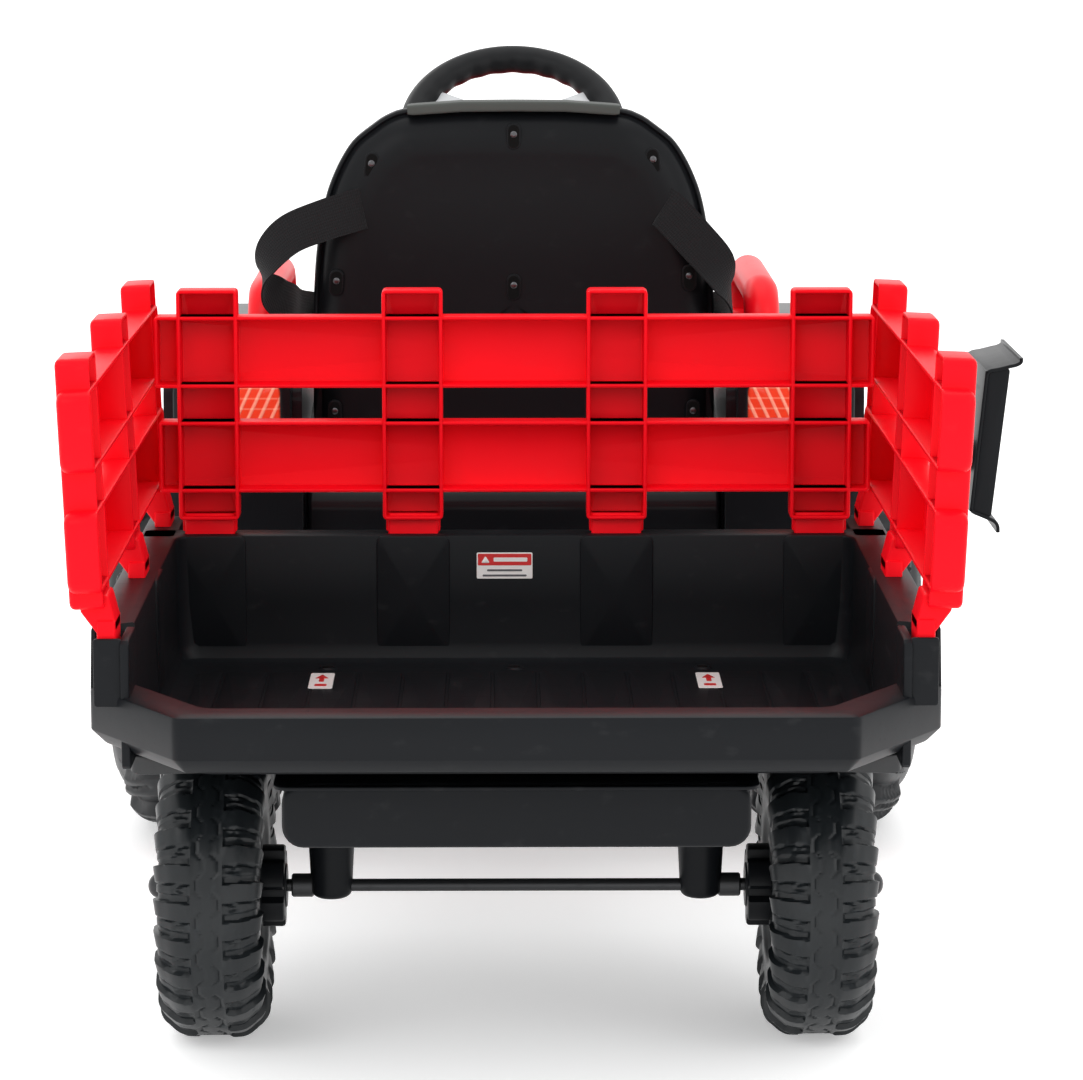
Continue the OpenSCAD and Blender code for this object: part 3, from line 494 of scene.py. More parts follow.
def slab(corners, h0, h1, radius, edge, way, arc=5, steps=3):
    """A plate between heights h0 and h1 with rounded corners and eased edges."""
    sign = 1 if h1 > h0 else -1
    first = round_edge(h0 + sign * edge, h0, edge, steps)[::-1]
    rows = first + round_edge(h1 - sign * edge, h1, edge, steps)
    return stack(corners, rows, radius, way, arc)


def tray(corners, mouth, floor, wall, radius, edge, way):
    """An open moulded tray: mouth is the height of its open rim, floor the height of its closed
    back face, wall its thickness and edge the rounding of the back."""
    s = 1 if floor > mouth else -1
    lip = wall * 0.35
    rows = [
        (wall + 1.5 * MM, floor - s * wall),
        (wall + 0.4 * MM, floor - s * (wall + 0.4 * MM)),
        (wall, floor - s * (wall + 1.5 * MM)),
        (wall, mouth + s * lip),
        (wall - lip * 0.3, mouth + s * lip * 0.3),
        (wall - lip, mouth),
        (lip, mouth),
        (lip * 0.3, mouth + s * lip * 0.3),
        (0.0, mouth + s * lip),
    ]
    return stack(corners, rows + round_edge(floor - s * edge, floor, edge), radius, way, 4)


def turned(profile, at, axis="x", around=64):
    """A body turned about an axle; profile is a run of (radius, distance along the axle)."""
    p = np.asarray(profile, float)
    a = np.linspace(0, TAU, around, endpoint=False)
    r, s = p[:, :1], np.broadcast_to(p[:, 1:], (len(p), around))
    c, q = r * np.cos(a), r * np.sin(a)
    parts = {"x": (s, c, q), "y": (q, s, c), "z": (c, q, s)}[axis]
    return solid(np.stack(parts, -1) + np.asarray(at))


def swept(path, section, ups=None):
    """Carries a closed section (around, 2) along a path; ups are the section's upward directions."""
    path = np.asarray(path, float)
    ahead = np.gradient(path, axis=0)
    ahead /= np.linalg.norm(ahead, axis=1)[:, None]
    if ups is None:
        ups = np.broadcast_to((0.0, 0.0, 1.0), path.shape)
    across = np.cross(ahead, ups)
    across /= np.linalg.norm(across, axis=1)[:, None]
    top = np.cross(across, ahead)
    sec = np.asarray(section, float)
    if sec.ndim == 2:
        sec = np.broadcast_to(sec, (len(path), *sec.shape))
    grid = path[:, None] + across[:, None] * sec[..., :1] + top[:, None] * sec[..., 1:]
    return solid(grid)


def circle(r, n=24):
    a = np.linspace(0, TAU, n, endpoint=False)
    return np.stack([r * np.cos(a), r * np.sin(a)], -1)


def smooth_path(points, n):
    """A smooth curve through given points, n samples (Catmull-Rom)."""
    p = np.asarray(points, float)
    p = np.concatenate([[2 * p[0] - p[1]], p, [2 * p[-1] - p[-2]]])
    t = np.linspace(0, len(p) - 3 - 1e-6, n)
    k = t.astype(int)
    u = (t - k)[:, None]
    a, b, c, d = p[k], p[k + 1], p[k + 2], p[k + 3]
    return 0.5 * (2 * b + (c - a) * u + (2 * a - 5 * b + 4 * c - d) * u**2 + (3 * b - a - 3 * c + d) * u**3)


def step(a, b, x):
    """0 below a, 1 above b, smooth between."""
    t = np.clip((x - a) / (b - a), 0, 1)
    return t * t * (3 - 2 * t)


def within(x, a, b, soft):
    """1 between a and b with soft edges."""
    return step(a - soft, a + soft, x) * (1 - step(b - soft, b + soft, x))


# ---------------------------------------------------------------- trailer tub
TUB_PLAN = [
    (-HALF, LIP_Y + CUT_Y), (-HALF + CUT_X, LIP_Y), (HALF - CUT_X, LIP_Y),
    (HALF, LIP_Y + CUT_Y), (HALF, TUB_FRONT), (-HALF, TUB_FRONT),
]
TUB_WALLS = np.array([LIP_D, LIP_D, LIP_D, WALL, WALL, WALL])


def ramp(y):
    """Height of the floor: level in front, rising in a straight line to the rear lip."""
    return FLOOR + RAMP_H * np.clip((RAMP_Y - y) / (RAMP_Y - LIP_Y - LIP_D), 0, 1)


def tub_bits():
    """One moulding: floor, drafted hold, flat rim, double walls open below. Each row of the stack
    is the plan moved in by k wall thicknesses plus d; the rim drops to the lip at the rear and the
    floor rises to it."""
    e = 1.6 * MM
    rows = [(1, 65, FLOOR, 0), (1, 15, FLOOR, 0), (1, 8, FLOOR + 1 * MM, 0), (1, 4.5, FLOOR + 3 * MM, 0),
            (1, 2.2, FLOOR + 7 * MM, 0), (1, 1.2, FLOOR + 13 * MM, 0), (1, 0.4, FLOOR + 40 * MM, 0),
            (1, 0, RIM - e, 1), (1, -0.5, RIM - 0.5 * MM, 1), (1, -1.6, RIM, 1), (0, 2.4, RIM, 1),
            (0, 0.7, RIM - 0.6 * MM, 1), (0, 0, RIM - 2.4 * MM, 1), (0, 0, SKIRT + 10 * MM, 0),
            (0, 0.4, SKIRT + 9.2 * MM, 0), (0, 8, SKIRT + 1.6 * MM, 0), (0, 9.6, SKIRT + 0.4 * MM, 0),
            (0, 12, SKIRT, 0), (0, 12.4, SKIRT + 0.6 * MM, 0), (0, 11.6, RIM - 4 * MM, 1), (1, -3, RIM - 4 * MM, 1),
            (1, -3, FLOOR - 2 * MM, 0), (1, -1, FLOOR - 3 * MM, 0), (1, 65, FLOOR - 3 * MM, 0)]
    radius = np.array([10, 8, 8, 10, 7, 7]) * MM
    outer = ring(TUB_PLAN, 0.0, radius, 6, 40)
    low_part = outer[:, 1] < LIP_Y + CUT_Y + 5 * MM
    grid = []
    for k, d, z, top in rows:
        r = np.maximum(radius - d * MM * (k == 0) + (6 * MM if k else 0), 1.2 * MM)
        p = ring(TUB_PLAN, TUB_WALLS * k + d * MM, r, 6, 40)
        bottom = ramp(p[:, 1]) - (0 if z >= FLOOR else 3 * MM)
        height = np.maximum(z - np.where(low_part, RIM - LIP_Z, 0.0) * top, bottom if k else -1.0)
        grid.append(np.stack([p[:, 0], p[:, 1], height], -1))
    return solid(np.stack(grid))


def floor_strips():
    """Raised panels between the floor's lengthways grooves."""
    pitch = 30 * MM
    y0, y1 = LIP_Y + 97 * MM, TUB_FRONT - 66 * MM
    bits = []
    for i in range(-7, 8):
        x0, x1 = (i - 0.5) * pitch + 1.1 * MM, (i + 0.5) * pitch - 1.1 * MM
        x0, x1 = max(x0, -213 * MM), min(x1, 213 * MM)
        rear = y0 + max(0.0, abs(i) * pitch - 160 * MM) * 1.2
        bits.append(slab(box4(x0, rear, x1, y1), FLOOR - 1.5 * MM, FLOOR + 1.0 * MM, 4 * MM, 0.8 * MM, up, 3, 2))
    return bits


def wall_bulges():
    """Shallow upright swellings of the inner walls where the fences' tabs go in."""
    bits = []
    y = TUB_FRONT - WALL
    for i in (-1.5, -0.5, 0.5, 1.5):
        x = i * 138.5 * MM
        bits.append(slab(box4(x - 25 * MM, FLOOR + 4 * MM, x + 25 * MM, RIM - 0.3 * MM),
                         y + 4 * MM, y - 1.6 * MM, 5 * MM, 1.4 * MM, back, 3, 3))
    for s in (-1, 1):
        for yc in (79.5, 278.5):
            c = LIP_Y + yc * MM
            bits.append(slab(box4(c - 24 * MM, FLOOR + 8 * MM, c + 24 * MM, RIM - 0.3 * MM),
                             s * (HALF - WALL + 4 * MM), s * (HALF - WALL - 1.4 * MM), 5 * MM, 1.2 * MM, side, 3, 3))
    return bits


def tub_ears():
    """Rounded ears that hold the front pair of side sockets."""
    bits = []
    for s in (-1, 1):
        x0, x1 = sorted((s * (HALF - 0.2 * MM), s * (HALF - WALL)))
        plan = box4(x0, TUB_FRONT - 30 * MM, x1, high("trailer_tub")[1])
        bits.append(slab(plan, RIM - 40 * MM, RIM, 6 * MM, 1.6 * MM, up))
        rib = box4(TUB_FRONT - 2 * MM, RIM - 66 * MM, TUB_FRONT + 20 * MM, RIM - 36 * MM)
        bits.append(slab(rib, s * (HALF - 14 * MM), s * (HALF - 11 * MM), 4 * MM, 0.8 * MM, side, 3, 2))
        x0, x1 = sorted((s * (HALF - 5 * MM), s * (HALF - 22 * MM)))
        cover = box4(x0, LIP_Z - 6 * MM, x1, RIM)
        bits.append(slab(cover, LIP_Y + 58 * MM, LIP_Y + 61 * MM, 2 * MM, 0.8 * MM, back, 4, 3))
    return bits


def drain_rings():
    bits = []
    for x in (-127, 0, 127):
        at = (x * MM, TUB_FRONT - 51 * MM, FLOOR)
        bits.append(turned([(3.4 * MM, -2 * MM), (3.4 * MM, 0.6 * MM), (4 * MM, 1.2 * MM), (5 * MM, 1.2 * MM),
                            (6 * MM, 0.4 * MM), (7.2 * MM, -0.4 * MM)], at, "z", 28))
    return bits


make("tub", [tub_bits()] + wall_bulges() + tub_ears(), "trailer_tub", corner=28)
make("floor_panels", floor_strips() + drain_rings(), "trailer_tub", replaces=None, corner=30)
# Near-black discs in the drain rings: painted shade standing in for the open drain holes.
make("drain_hole_shade", [turned([(3.3 * MM, 0.0), (3.3 * MM, 1.3 * MM)], (x * MM, TUB_FRONT - 51 * MM, FLOOR), "z", 24)
                     for x in (-127, 0, 127)], body="trailer", paint="painted_hole_shade")


# ---------------------------------------------------------------- labels
def label_bits():
    """Two floor stickers with a plain arrow and a wall sticker with a red band and a triangle."""
    white, red, grey = [], [], []

    def print_up(corners, h, radius=0.3):
        return slab(corners, h, h + 0.15 * MM, radius * MM, 0.05 * MM, up, 2, 1)

    def print_back(corners, h, thick=0.15, radius=0.3):
        return slab(corners, h, h - thick * MM, radius * MM, 0.05 * MM, back, 2, 1)

    for s in (-1, 1):
        x, y = s * 129 * MM, TUB_FRONT - 98 * MM
        white.append(slab(box4(x - 8 * MM, y - 25 * MM, x + 8 * MM, y + 25 * MM), FLOOR + 0.9 * MM, FLOOR + 1.35 * MM,
                          1.5 * MM, 0.15 * MM, up, 3, 1))
        top = FLOOR + 1.3 * MM
        red.append(print_up([(x - 4.6 * MM, y + 7 * MM), (x + 4.6 * MM, y + 7 * MM), (x, y + 20 * MM)], top))
        red.append(print_up(box4(x - 1.7 * MM, y - 4 * MM, x + 1.7 * MM, y + 8 * MM), top, 0.2))
        red.append(print_up(box4(x - 4 * MM, y - 18 * MM, x + 4 * MM, y - 11 * MM), top))
    y = TUB_FRONT - WALL - 0.2 * MM
    x0, x1, z0, z1 = -26 * MM, 12 * MM, RIM - 30 * MM, RIM - 12 * MM
    mid = z0 + 9.2 * MM
    white.append(slab(box4(x0, z0, x1, z1), y + 0.3 * MM, y - 0.3 * MM, 1 * MM, 0.1 * MM, back, 3, 1))
    red.append(print_back(box4(x0 + 0.8 * MM, mid, x1 - 0.8 * MM, z1 - 0.8 * MM), y - 0.2 * MM, 0.22, 0.6))
    front = y - 0.36 * MM
    sign = [(x0 + 3 * MM, mid + 1.6 * MM), (x0 + 9 * MM, mid + 1.6 * MM), (x0 + 6 * MM, mid + 6.6 * MM)]
    white.append(print_back(sign, front))
    white.append(print_back(box4(x0 + 11.5 * MM, mid + 2.6 * MM, x1 - 3.5 * MM, mid + 5.4 * MM), front, 0.15, 0.5))
    for k, (a, b) in enumerate(((7, 31), (4, 34))):
        z = mid - 3.4 * MM - k * 3.6 * MM
        bar = box4(x0 + a * MM, z - 0.7 * MM, x0 + b * MM, z + 0.7 * MM)
        grey.append(print_back(bar, y - 0.2 * MM, 0.22))
    return white, red, grey


white_bits, red_bits, grey_bits = label_bits()
make("stickers", white_bits, "cargo_labels")
make("sticker_marks", red_bits, "cargo_labels", paint="mark_red", replaces=None)
make("sticker_lines", grey_bits, "cargo_labels", paint="mark_grey", replaces=None)


# ---------------------------------------------------------------- under the tub
def belly_bits():
    lo, hi = low("belly_box") + (-3 * MM, 0, 3 * MM), high("belly_box") + (3 * MM, 0, 0)
    r = 13 * MM
    plan = box4(lo[0], lo[2], hi[0], hi[2] + 2 * MM)
    rows = round_edge(lo[1] + 4 * MM, lo[1], 4 * MM)[::-1] + round_edge(hi[1] - 4 * MM, hi[1], 4 * MM)
    bits = [stack(plan, rows, r, back, 6)]
    lip = box4(lo[0] - 5 * MM, lo[1] - 5 * MM, hi[0] + 5 * MM, hi[1] + 5 * MM)
    bits.append(slab(lip, hi[2] - 1.5 * MM, hi[2] + 1 * MM, 10 * MM, 0.8 * MM, up))
    return bits


AXLE = np.array([0, *middle("axle_rod")[1:]])
POST_X = 117 * MM


def post_bits():
    """Tapered posts with a rounded foot and a collar where they meet the box."""
    bits = []
    top = low("belly_box")[2]
    foot = low("axle_posts")[2]
    for s in (-1, 1):
        a = np.linspace(0, math.pi / 2, 7)
        sole = [(8 * MM + 5.0 * MM * math.sin(t), foot + 2 * MM + 5 * MM * (1 - math.cos(t))) for t in a]
        prof = sole + [(16 * MM, top - 1 * MM), (17 * MM, top + 2 * MM)]
        bits.append(turned(prof, (s * POST_X, AXLE[1], 0), "z", 40))
    return bits


def rod_bits():
    """The axle rod with a sleeve outside each post and a domed cap on each end."""
    bits = []
    r = 4 * MM
    end = high("axle_rod")[0]
    bits.append(turned([(r, -end + 6 * MM), (r, end - 6 * MM)], AXLE, "x", 32))
    for s in (-1, 1):
        c = s * 135.4 * MM
        collar = [(6.6, -7), (7.5, -6), (7.5, 6), (6.6, 7)]
        bits.append(turned([(r * MM, c + h * MM) for r, h in collar],
                           AXLE, "x", 32))
        dome = [(8 * MM * math.cos(t), s * (end - 7 * MM + 7 * MM * math.sin(t))) for t in np.linspace(0, 1.5, 8)]
        bits.append(turned([(8 * MM, s * (end - 9 * MM))] + dome, AXLE, "x", 32))
    return bits


make("belly", belly_bits(), "belly_box")
make("posts", post_bits(), "axle_posts")
make("rod", rod_bits(), "axle_rod")
eased("tow_bar", 1.5 * MM)


# ---------------------------------------------------------------- wheels
def even(points, n):
    """The closed outline sampled at n evenly spaced places."""
    p = np.concatenate([points, points[:1]])
    run = np.concatenate([[0], np.cumsum(np.linalg.norm(np.diff(p, axis=0), axis=1))])
    at = np.linspace(0, run[-1], n, endpoint=False)
    return np.stack([np.interp(at, run, p[:, 0]), np.interp(at, run, p[:, 1])], -1)


def tyre_bits(at, corners, radius, lug, n_round, n_profile):
    """A tyre: outline of (x, r) corners turned about x, then pushed out along the outline's normal
    by lug(turn, x, r)."""
    prof = even(ring(corners, 0.0, radius, 10, 1), n_profile)
    d = np.roll(prof, -1, 0) - np.roll(prof, 1, 0)
    d /= np.linalg.norm(d, axis=1)[:, None]
    nx, nr = d[:, 1], -d[:, 0]
    a = np.linspace(0, TAU, n_round, endpoint=False)[None, :]
    x, r = prof[:, :1], prof[:, 1:]
    h = lug(a, x, r)
    x2, r2 = x + nx[:, None] * h, r + nr[:, None] * h
    grid = np.stack([x2 + 0 * a, r2 * np.cos(a), r2 * np.sin(a)], -1) + np.asarray(at)
    return solid(grid, round_rows=True)


def trailer_lug(a, x, r):
    """A smooth centre band with a parting line and two stepped hairline grooves, and sloping
    wedge blocks out to the shoulders, left and right half a pitch apart."""
    n = 25
    x = x / MM
    r = r / MM
    s = np.abs(x)
    f = (a * n / TAU + 0.5 * (x > 0)) % 1.0
    wave = within(f, 0.25, 0.75, 0.10)
    band = 1 - step(9.9, 10.5, s)
    cut = 1 - step(0.3, 0.7, s)
    zig = 1 - step(0.45, 0.85, np.abs(s - 3.0 - 3.4 * wave))
    rib = within(s, 8.9, 9.9, 0.25)
    height = band * (2.0 - 0.5 * cut - 1.1 * zig + 0.5 * rib)
    g = (f + 0.004 * (s - 12) + 0.1) % 1.0
    block = within(g, 0.06, 0.58, 0.018) * (1 - 0.45 * np.clip((g - 0.06) / 0.52, 0, 1))
    ledge = within(g, 0.62, 0.86, 0.02) * 0.35
    slot = within(g, 0.68, 0.78, 0.02) * within(s, 13, 19, 0.6)
    away = step(10.4, 11.2, s)
    fall = step(64, 72, r)
    height = height + (3.4 * block + 3.0 * ledge - 1.4 * slot) * away * fall
    return (height + 0.6 * within(r, 50, 53, 0.8) * step(24, 26, s)) * MM


def chevron_lug(n, half, tall, r_shoulder):
    """Chunky wavy chevrons, left and right half a pitch apart, running down the shoulder."""

    def lug(a, x, r):
        s = np.abs(x) / half
        f = (a * n / TAU + 0.5 * (x > 0)) % 1.0
        g = (f - 0.85 * s + 0.06 * np.sin(s * 14.0)) % 1.0
        tread = within(g, 0.24, 0.72, 0.045) * step(0.02, 0.06, s)
        fall = step(r_shoulder - 26 * MM, r_shoulder - 18 * MM, r)
        nick = within(g, 0.44, 0.52, 0.02) * within(s, 0.55, 0.95, 0.03)
        rings = within(r, r_shoulder - 44 * MM, r_shoulder - 40 * MM, 0.8 * MM)
        return (tread * (1 - 0.35 * nick) * fall) * tall + rings * 0.8 * MM

    return lug


def tyre_outline(half, hub, top, shoulder):
    """(x, r) corners of a tyre, counter-clockwise."""
    return [(-half + 5 * MM, hub), (half - 5 * MM, hub), (half, hub + 8 * MM), (half, top - shoulder),
            (half * 0.62, top), (-half * 0.62, top), (-half, top - shoulder), (-half, hub + 8 * MM)]


def knob_bits(tyre, s):
    """The hub's six-lobed inner knob; its outline swings smoothly between two radii."""
    face = (high(tyre)[0] if s > 0 else low(tyre)[0])
    a = np.linspace(0, TAU, 120, endpoint=False)
    lobes = step(0.28, 0.42, np.abs(((a * 6 / TAU) % 1.0) - 0.5) * -1 + 0.7)
    outline = (20.5 + 5.5 * lobes) * MM
    rows = []
    for depth, k in ((-4, 1.0), (8.5, 1.0), (9.6, 0.985), (10.2, 0.95), (10.2, 0.55), (11.3, 0.52), (11.3, 0.3)):
        rr = outline * k if k > 0.6 else np.full_like(a, 26 * MM * k)
        rows.append(np.stack([np.full_like(a, face + s * depth * MM), rr * np.cos(a), rr * np.sin(a)], -1))
    return [solid(np.stack(rows) + AXLE)]


def wheel_disc(at, s, rim, half, spokes, dish, hub, hole=0.0):
    """A wheel disc: a polar height field on the outer face with raised spokes, a rim bead and a hub
    cap, and a plain inner face. s is the outward side."""
    r = np.concatenate([np.linspace(0.5 * MM, hub, 8), np.linspace(hub, rim, 40)[1:]])[:, None]
    a = np.linspace(0, TAU, spokes * 24, endpoint=False)[None, :]
    swing = np.abs(((a * spokes / TAU) % 1.0) - 0.5)
    between = step(0.16, 0.24, swing + 0 * r)
    spoke = 1 - between * step(hub * 1.25, hub * 1.45, r) * (1 - step(rim * 0.80, rim * 0.88, r))
    bead = within(r, rim * 0.91, rim * 0.985, 0.8 * MM)
    cap = 1 - step(hub * 0.86, hub, r)
    depth = half - dish * step(hub * 1.05, hub * 1.3, r) * (1 - step(rim * 0.9, rim, r) * 0.5)
    dome = np.sqrt(np.clip(1 - (r / hub) ** 2, 0, 1))
    depth = depth - (1 - spoke) * dish * 0.55 + bead * 1.5 * MM + cap * 2.5 * MM * dome
    face = np.stack([s * depth + 0 * a, r * np.cos(a), r * np.sin(a)], -1)
    inner = np.array([rim, rim * 0.97, rim * 0.6, 0.002])[:, None]
    deep = np.array([-half * 0.9, -half * 0.94, -half * 0.94, -half * 0.94])[:, None]
    rear = np.stack([s * deep + 0 * a, inner * np.cos(a), inner * np.sin(a)], -1)
    return [solid(np.concatenate([face, rear]) + np.asarray(at))]


for hand, s in (("left", -1), ("right", 1)):
    tyre_node = "trailer_tyre_" + hand
    hub_at = middle(tyre_node)
    corners = tyre_outline(30.5 * MM, 44 * MM, 92.4 * MM, 10 * MM)
    rounding = np.array([2, 2, 10, 9, 12, 12, 9, 10]) * MM
    make("tread_" + hand, [tyre_bits(hub_at, corners, rounding, trailer_lug, 25 * 24, 130)], tyre_node, corner=40)
    disc = wheel_disc(hub_at, s, 47 * MM, 24 * MM, 5, 10 * MM, 15 * MM)
    make("trailer_disc_" + hand, disc, tyre_node, paint="knob_black", replaces=None, corner=40)
    make("knob_" + hand, knob_bits(tyre_node, -s), "hub_knob_" + hand, corner=35)


def road_wheel(name, tyre, hub, s, lugs, tall, n_round, n_profile):
    lo, hi, at = low(tyre), high(tyre), middle(tyre)
    half, top, bead = (hi[0] - lo[0]) / 2 - 1 * MM, (hi[2] - lo[2]) / 2, (high(hub)[2] - low(hub)[2]) / 2
    shoulder = half * 0.42
    corners = tyre_outline(half, bead, top - tall, shoulder)
    rounding = np.array([2, 2, 8, shoulder / MM * 0.8, 20, 20, shoulder / MM * 0.8, 8]) * MM
    lug = chevron_lug(lugs, half, tall, top)
    make(name + "_tread", [tyre_bits(at, corners, rounding, lug, n_round, n_profile)], tyre, corner=40)
    make(name + "_disc", wheel_disc(at, s, bead + 1 * MM, half * 0.86, 6, half * 0.34, bead * 0.30), hub, corner=40)


for hand, s in (("left", -1), ("right", 1)):
    road_wheel("rear_" + hand, "rear_tyre_" + hand, "rear_hub_" + hand, s, 16, 9 * MM, 16 * 34, 130)
    road_wheel("front_" + hand, "front_tyre_" + hand, "front_hub_" + hand, s, 16, 6.5 * MM, 16 * 30, 104)


# ---------------------------------------------------------------- fences
RAILS = ((29.0, 77.5), (100.5, 149.0))
STAKE_HALF = 20.5 * MM
THICK = 20 * MM
TRAY = 2.5 * MM


def front_fence():
    """Rails and stakes as open trays facing the hold, with tabs down into the rim."""
    mouth, deep = low("fence_front")[1], high("fence_front")[1]
    bits = []
    for k, (z0, z1) in enumerate(RAILS):
        half = HALF - 13.5 * MM + k * 2.2 * MM
        bits.append(tray(box4(-half, RIM + z0 * MM, half, RIM + z1 * MM), mouth + 0.5 * MM, deep - 0.4 * MM, TRAY,
                         3 * MM, 1.5 * MM, back))
    for i in (-1.5, -0.5, 0.5, 1.5):
        x = i * 138.5 * MM
        bits.append(tray(box4(x - STAKE_HALF, RIM + 10 * MM, x + STAKE_HALF, RIM + 167 * MM), mouth, deep, TRAY,
                         3 * MM, 1.5 * MM, back))
        for z0, z1 in RAILS:
            for z in (z0, z1 - 2.5):
                web = box4(x - STAKE_HALF + 1 * MM, mouth + 0.6 * MM, x + STAKE_HALF - 1 * MM, deep - 1 * MM)
                bits.append(slab(web, RIM + z * MM, RIM + (z + 2.5) * MM, 0.5 * MM, 0.4 * MM, up, 2, 2))
        y = (mouth + deep) / 2
        bits.append(slab(box4(x - 17 * MM, y - 5.5 * MM, x + 17 * MM, y + 5.5 * MM), RIM - 25 * MM, RIM + 14 * MM,
                         1.5 * MM, 0.8 * MM, up, 3, 2))
        bits.append(slab(box4(x - 18.5 * MM, RIM + 1 * MM, x + 18.5 * MM, RIM + 14 * MM), y - 3 * MM, y + 3 * MM,
                         1.5 * MM, 0.8 * MM, back, 3, 2))
    return bits


def side_fence():
    """Left side: the same trays standing lengthways, open to the hold, leaning a little outward."""
    lean = math.radians(2.45)
    ends = (LIP_Y + 43 * MM, high("fence_left")[1])
    stakes = [LIP_Y + y * MM for y in (75.5, 279.5, 483.5)]
    bits = []
    for z0, z1 in RAILS:
        rail = box4(ends[0], z0 * MM, ends[1], z1 * MM)
        bits.append(tray(rail, 0.5 * MM, -THICK + 0.5 * MM, TRAY, 8 * MM, 5 * MM, side))
    for y in stakes:
        bits.append(tray(box4(y - STAKE_HALF, 18 * MM, y + STAKE_HALF, 167 * MM), 0.0, -THICK - 0.3 * MM, TRAY,
                         5 * MM, 3.5 * MM, side))
        for z0, z1 in RAILS:
            for z in (z0, z1 - 2.5):
                web = box4(-THICK + 1.5 * MM, y - STAKE_HALF + 1 * MM, -0.6 * MM, y + STAKE_HALF - 1 * MM)
                bits.append(slab(web, z * MM, (z + 2.5) * MM, 0.5 * MM, 0.4 * MM, up, 2, 2))
    x0 = -(HALF - WALL / 2)
    c, q = math.cos(lean), math.sin(lean)
    turn = np.array([[c, 0, -q], [0, 1, 0], [q, 0, c]])
    bits = [((p + (0.5 * MM, 0, 0)) @ turn.T + (x0, 0, RIM), f) for p, f in bits]
    for k in range(3):
        y = LIP_Y + (79.5 + 199 * k) * MM
        plan = box4(x0 - 5.5 * MM, y - 17 * MM, x0 + 5.5 * MM, y + 17 * MM)
        bits.append(slab(plan, RIM - 25 * MM, RIM + 10 * MM, 1.5 * MM, 0.8 * MM, up, 3, 2))
        leg = [(x0 - 5.5 * MM, RIM + 2 * MM), (x0 + 5.5 * MM, RIM + 2 * MM), (x0 + 5.5 * MM, RIM + 9 * MM),
               (x0 + 1.5 * MM, RIM + 25 * MM), (x0 - 16 * MM, RIM + 25 * MM), (x0 - 15 * MM, RIM + 15 * MM)]
        bits.append(stack(leg, round_edge(y - 14 * MM, y - 15.5 * MM, 1.5 * MM)[::-1]
                          + round_edge(y + 14 * MM, y + 15.5 * MM, 1.5 * MM), 2 * MM, back, 3))
    return bits


make("fence_front_panel", front_fence(), "fence_front", corner=32)
left_fence = side_fence()
make("fence_left_panel", left_fence, "fence_left", corner=32)
make("fence_right_panel", mirrored(left_fence), "fence_right", corner=32)


# ---------------------------------------------------------------- seat
SEAT_LO, SEAT_HI = low("seat_shell"), high("seat_shell")
SEAT_BACK = SEAT_LO[1]
SEAT_TOP = SEAT_HI[2]
SEAT_W = SEAT_HI[0]
SIT = 0.120
# right half of the seat back's outline from the middle of its top down: millimetres out, up from the ground
BACK_EDGE = [(0, 562), (38, 561.7), (77, 559), (92.5, 554), (103, 547), (116, 536.5), (125, 523.5), (132, 509),
             (136.8, 495), (141, 475), (144.6, 449), (146.7, 409), (147, 360), (147, 320), (146, 300), (138, 290),
             (120, 286), (60, 286)]


def back_outline(n=240):
    """The whole outline seen from behind, evenly spaced and counter-clockwise, with inward normals."""
    half = np.array(BACK_EDGE, float)
    half[:, 1] += GROUND / MM
    right = smooth_path(np.c_[half, np.zeros(len(half))], 400)[:, :2]
    loop = np.concatenate([right[::-1], right[1:] * (-1, 1)]) * MM
    p = even(loop, n)
    d = np.roll(p, -3, 0) - np.roll(p, 3, 0)
    d /= np.linalg.norm(d, axis=1)[:, None]
    return p, np.stack([-d[:, 1], d[:, 0]], 1)


def back_rings(rows, n=240):
    """Stack over the seat back's outline; each row is (inset, share drawn to the middle, depth)."""
    p, inward = back_outline(n)
    centre = np.array([0, SEAT_TOP - 140 * MM])
    grid = []
    for inset, share, depth in rows:
        q = p + inward * inset * MM
        q = q + (centre - q) * share
        grid.append(back(q[:, 0], q[:, 1], np.full(n, SEAT_BACK + depth * MM)))
    return solid(np.stack(grid))


def seat_back():
    """Back shell: a seam round the rim, a broad soft roll and a nearly flat panel; plain in front."""
    rows = [(36, 0.55, 3.0), (36, 0.25, 2.9), (36, 0.08, 2.2), (36, 0, 0.9), (30, 0, 0.2), (24, 0, 0.9), (18, 0, 2.6),
            (13, 0, 5.2), (9, 0, 8.4), (7, 0, 10.6), (6, 0, 12.3), (5, 0, 13.6), (4.3, 0, 14.0), (3.6, 0, 13.0),
            (2.6, 0, 12.4), (1.4, 0, 12.9), (0.5, 0, 14.4), (0, 0, 17), (0, 0, 22), (1.2, 0, 26), (4, 0, 29),
            (8, 0, 30), (26, 0, 30), (30, 0, 28), (30, 0.3, 27.5)]
    return back_rings(rows)


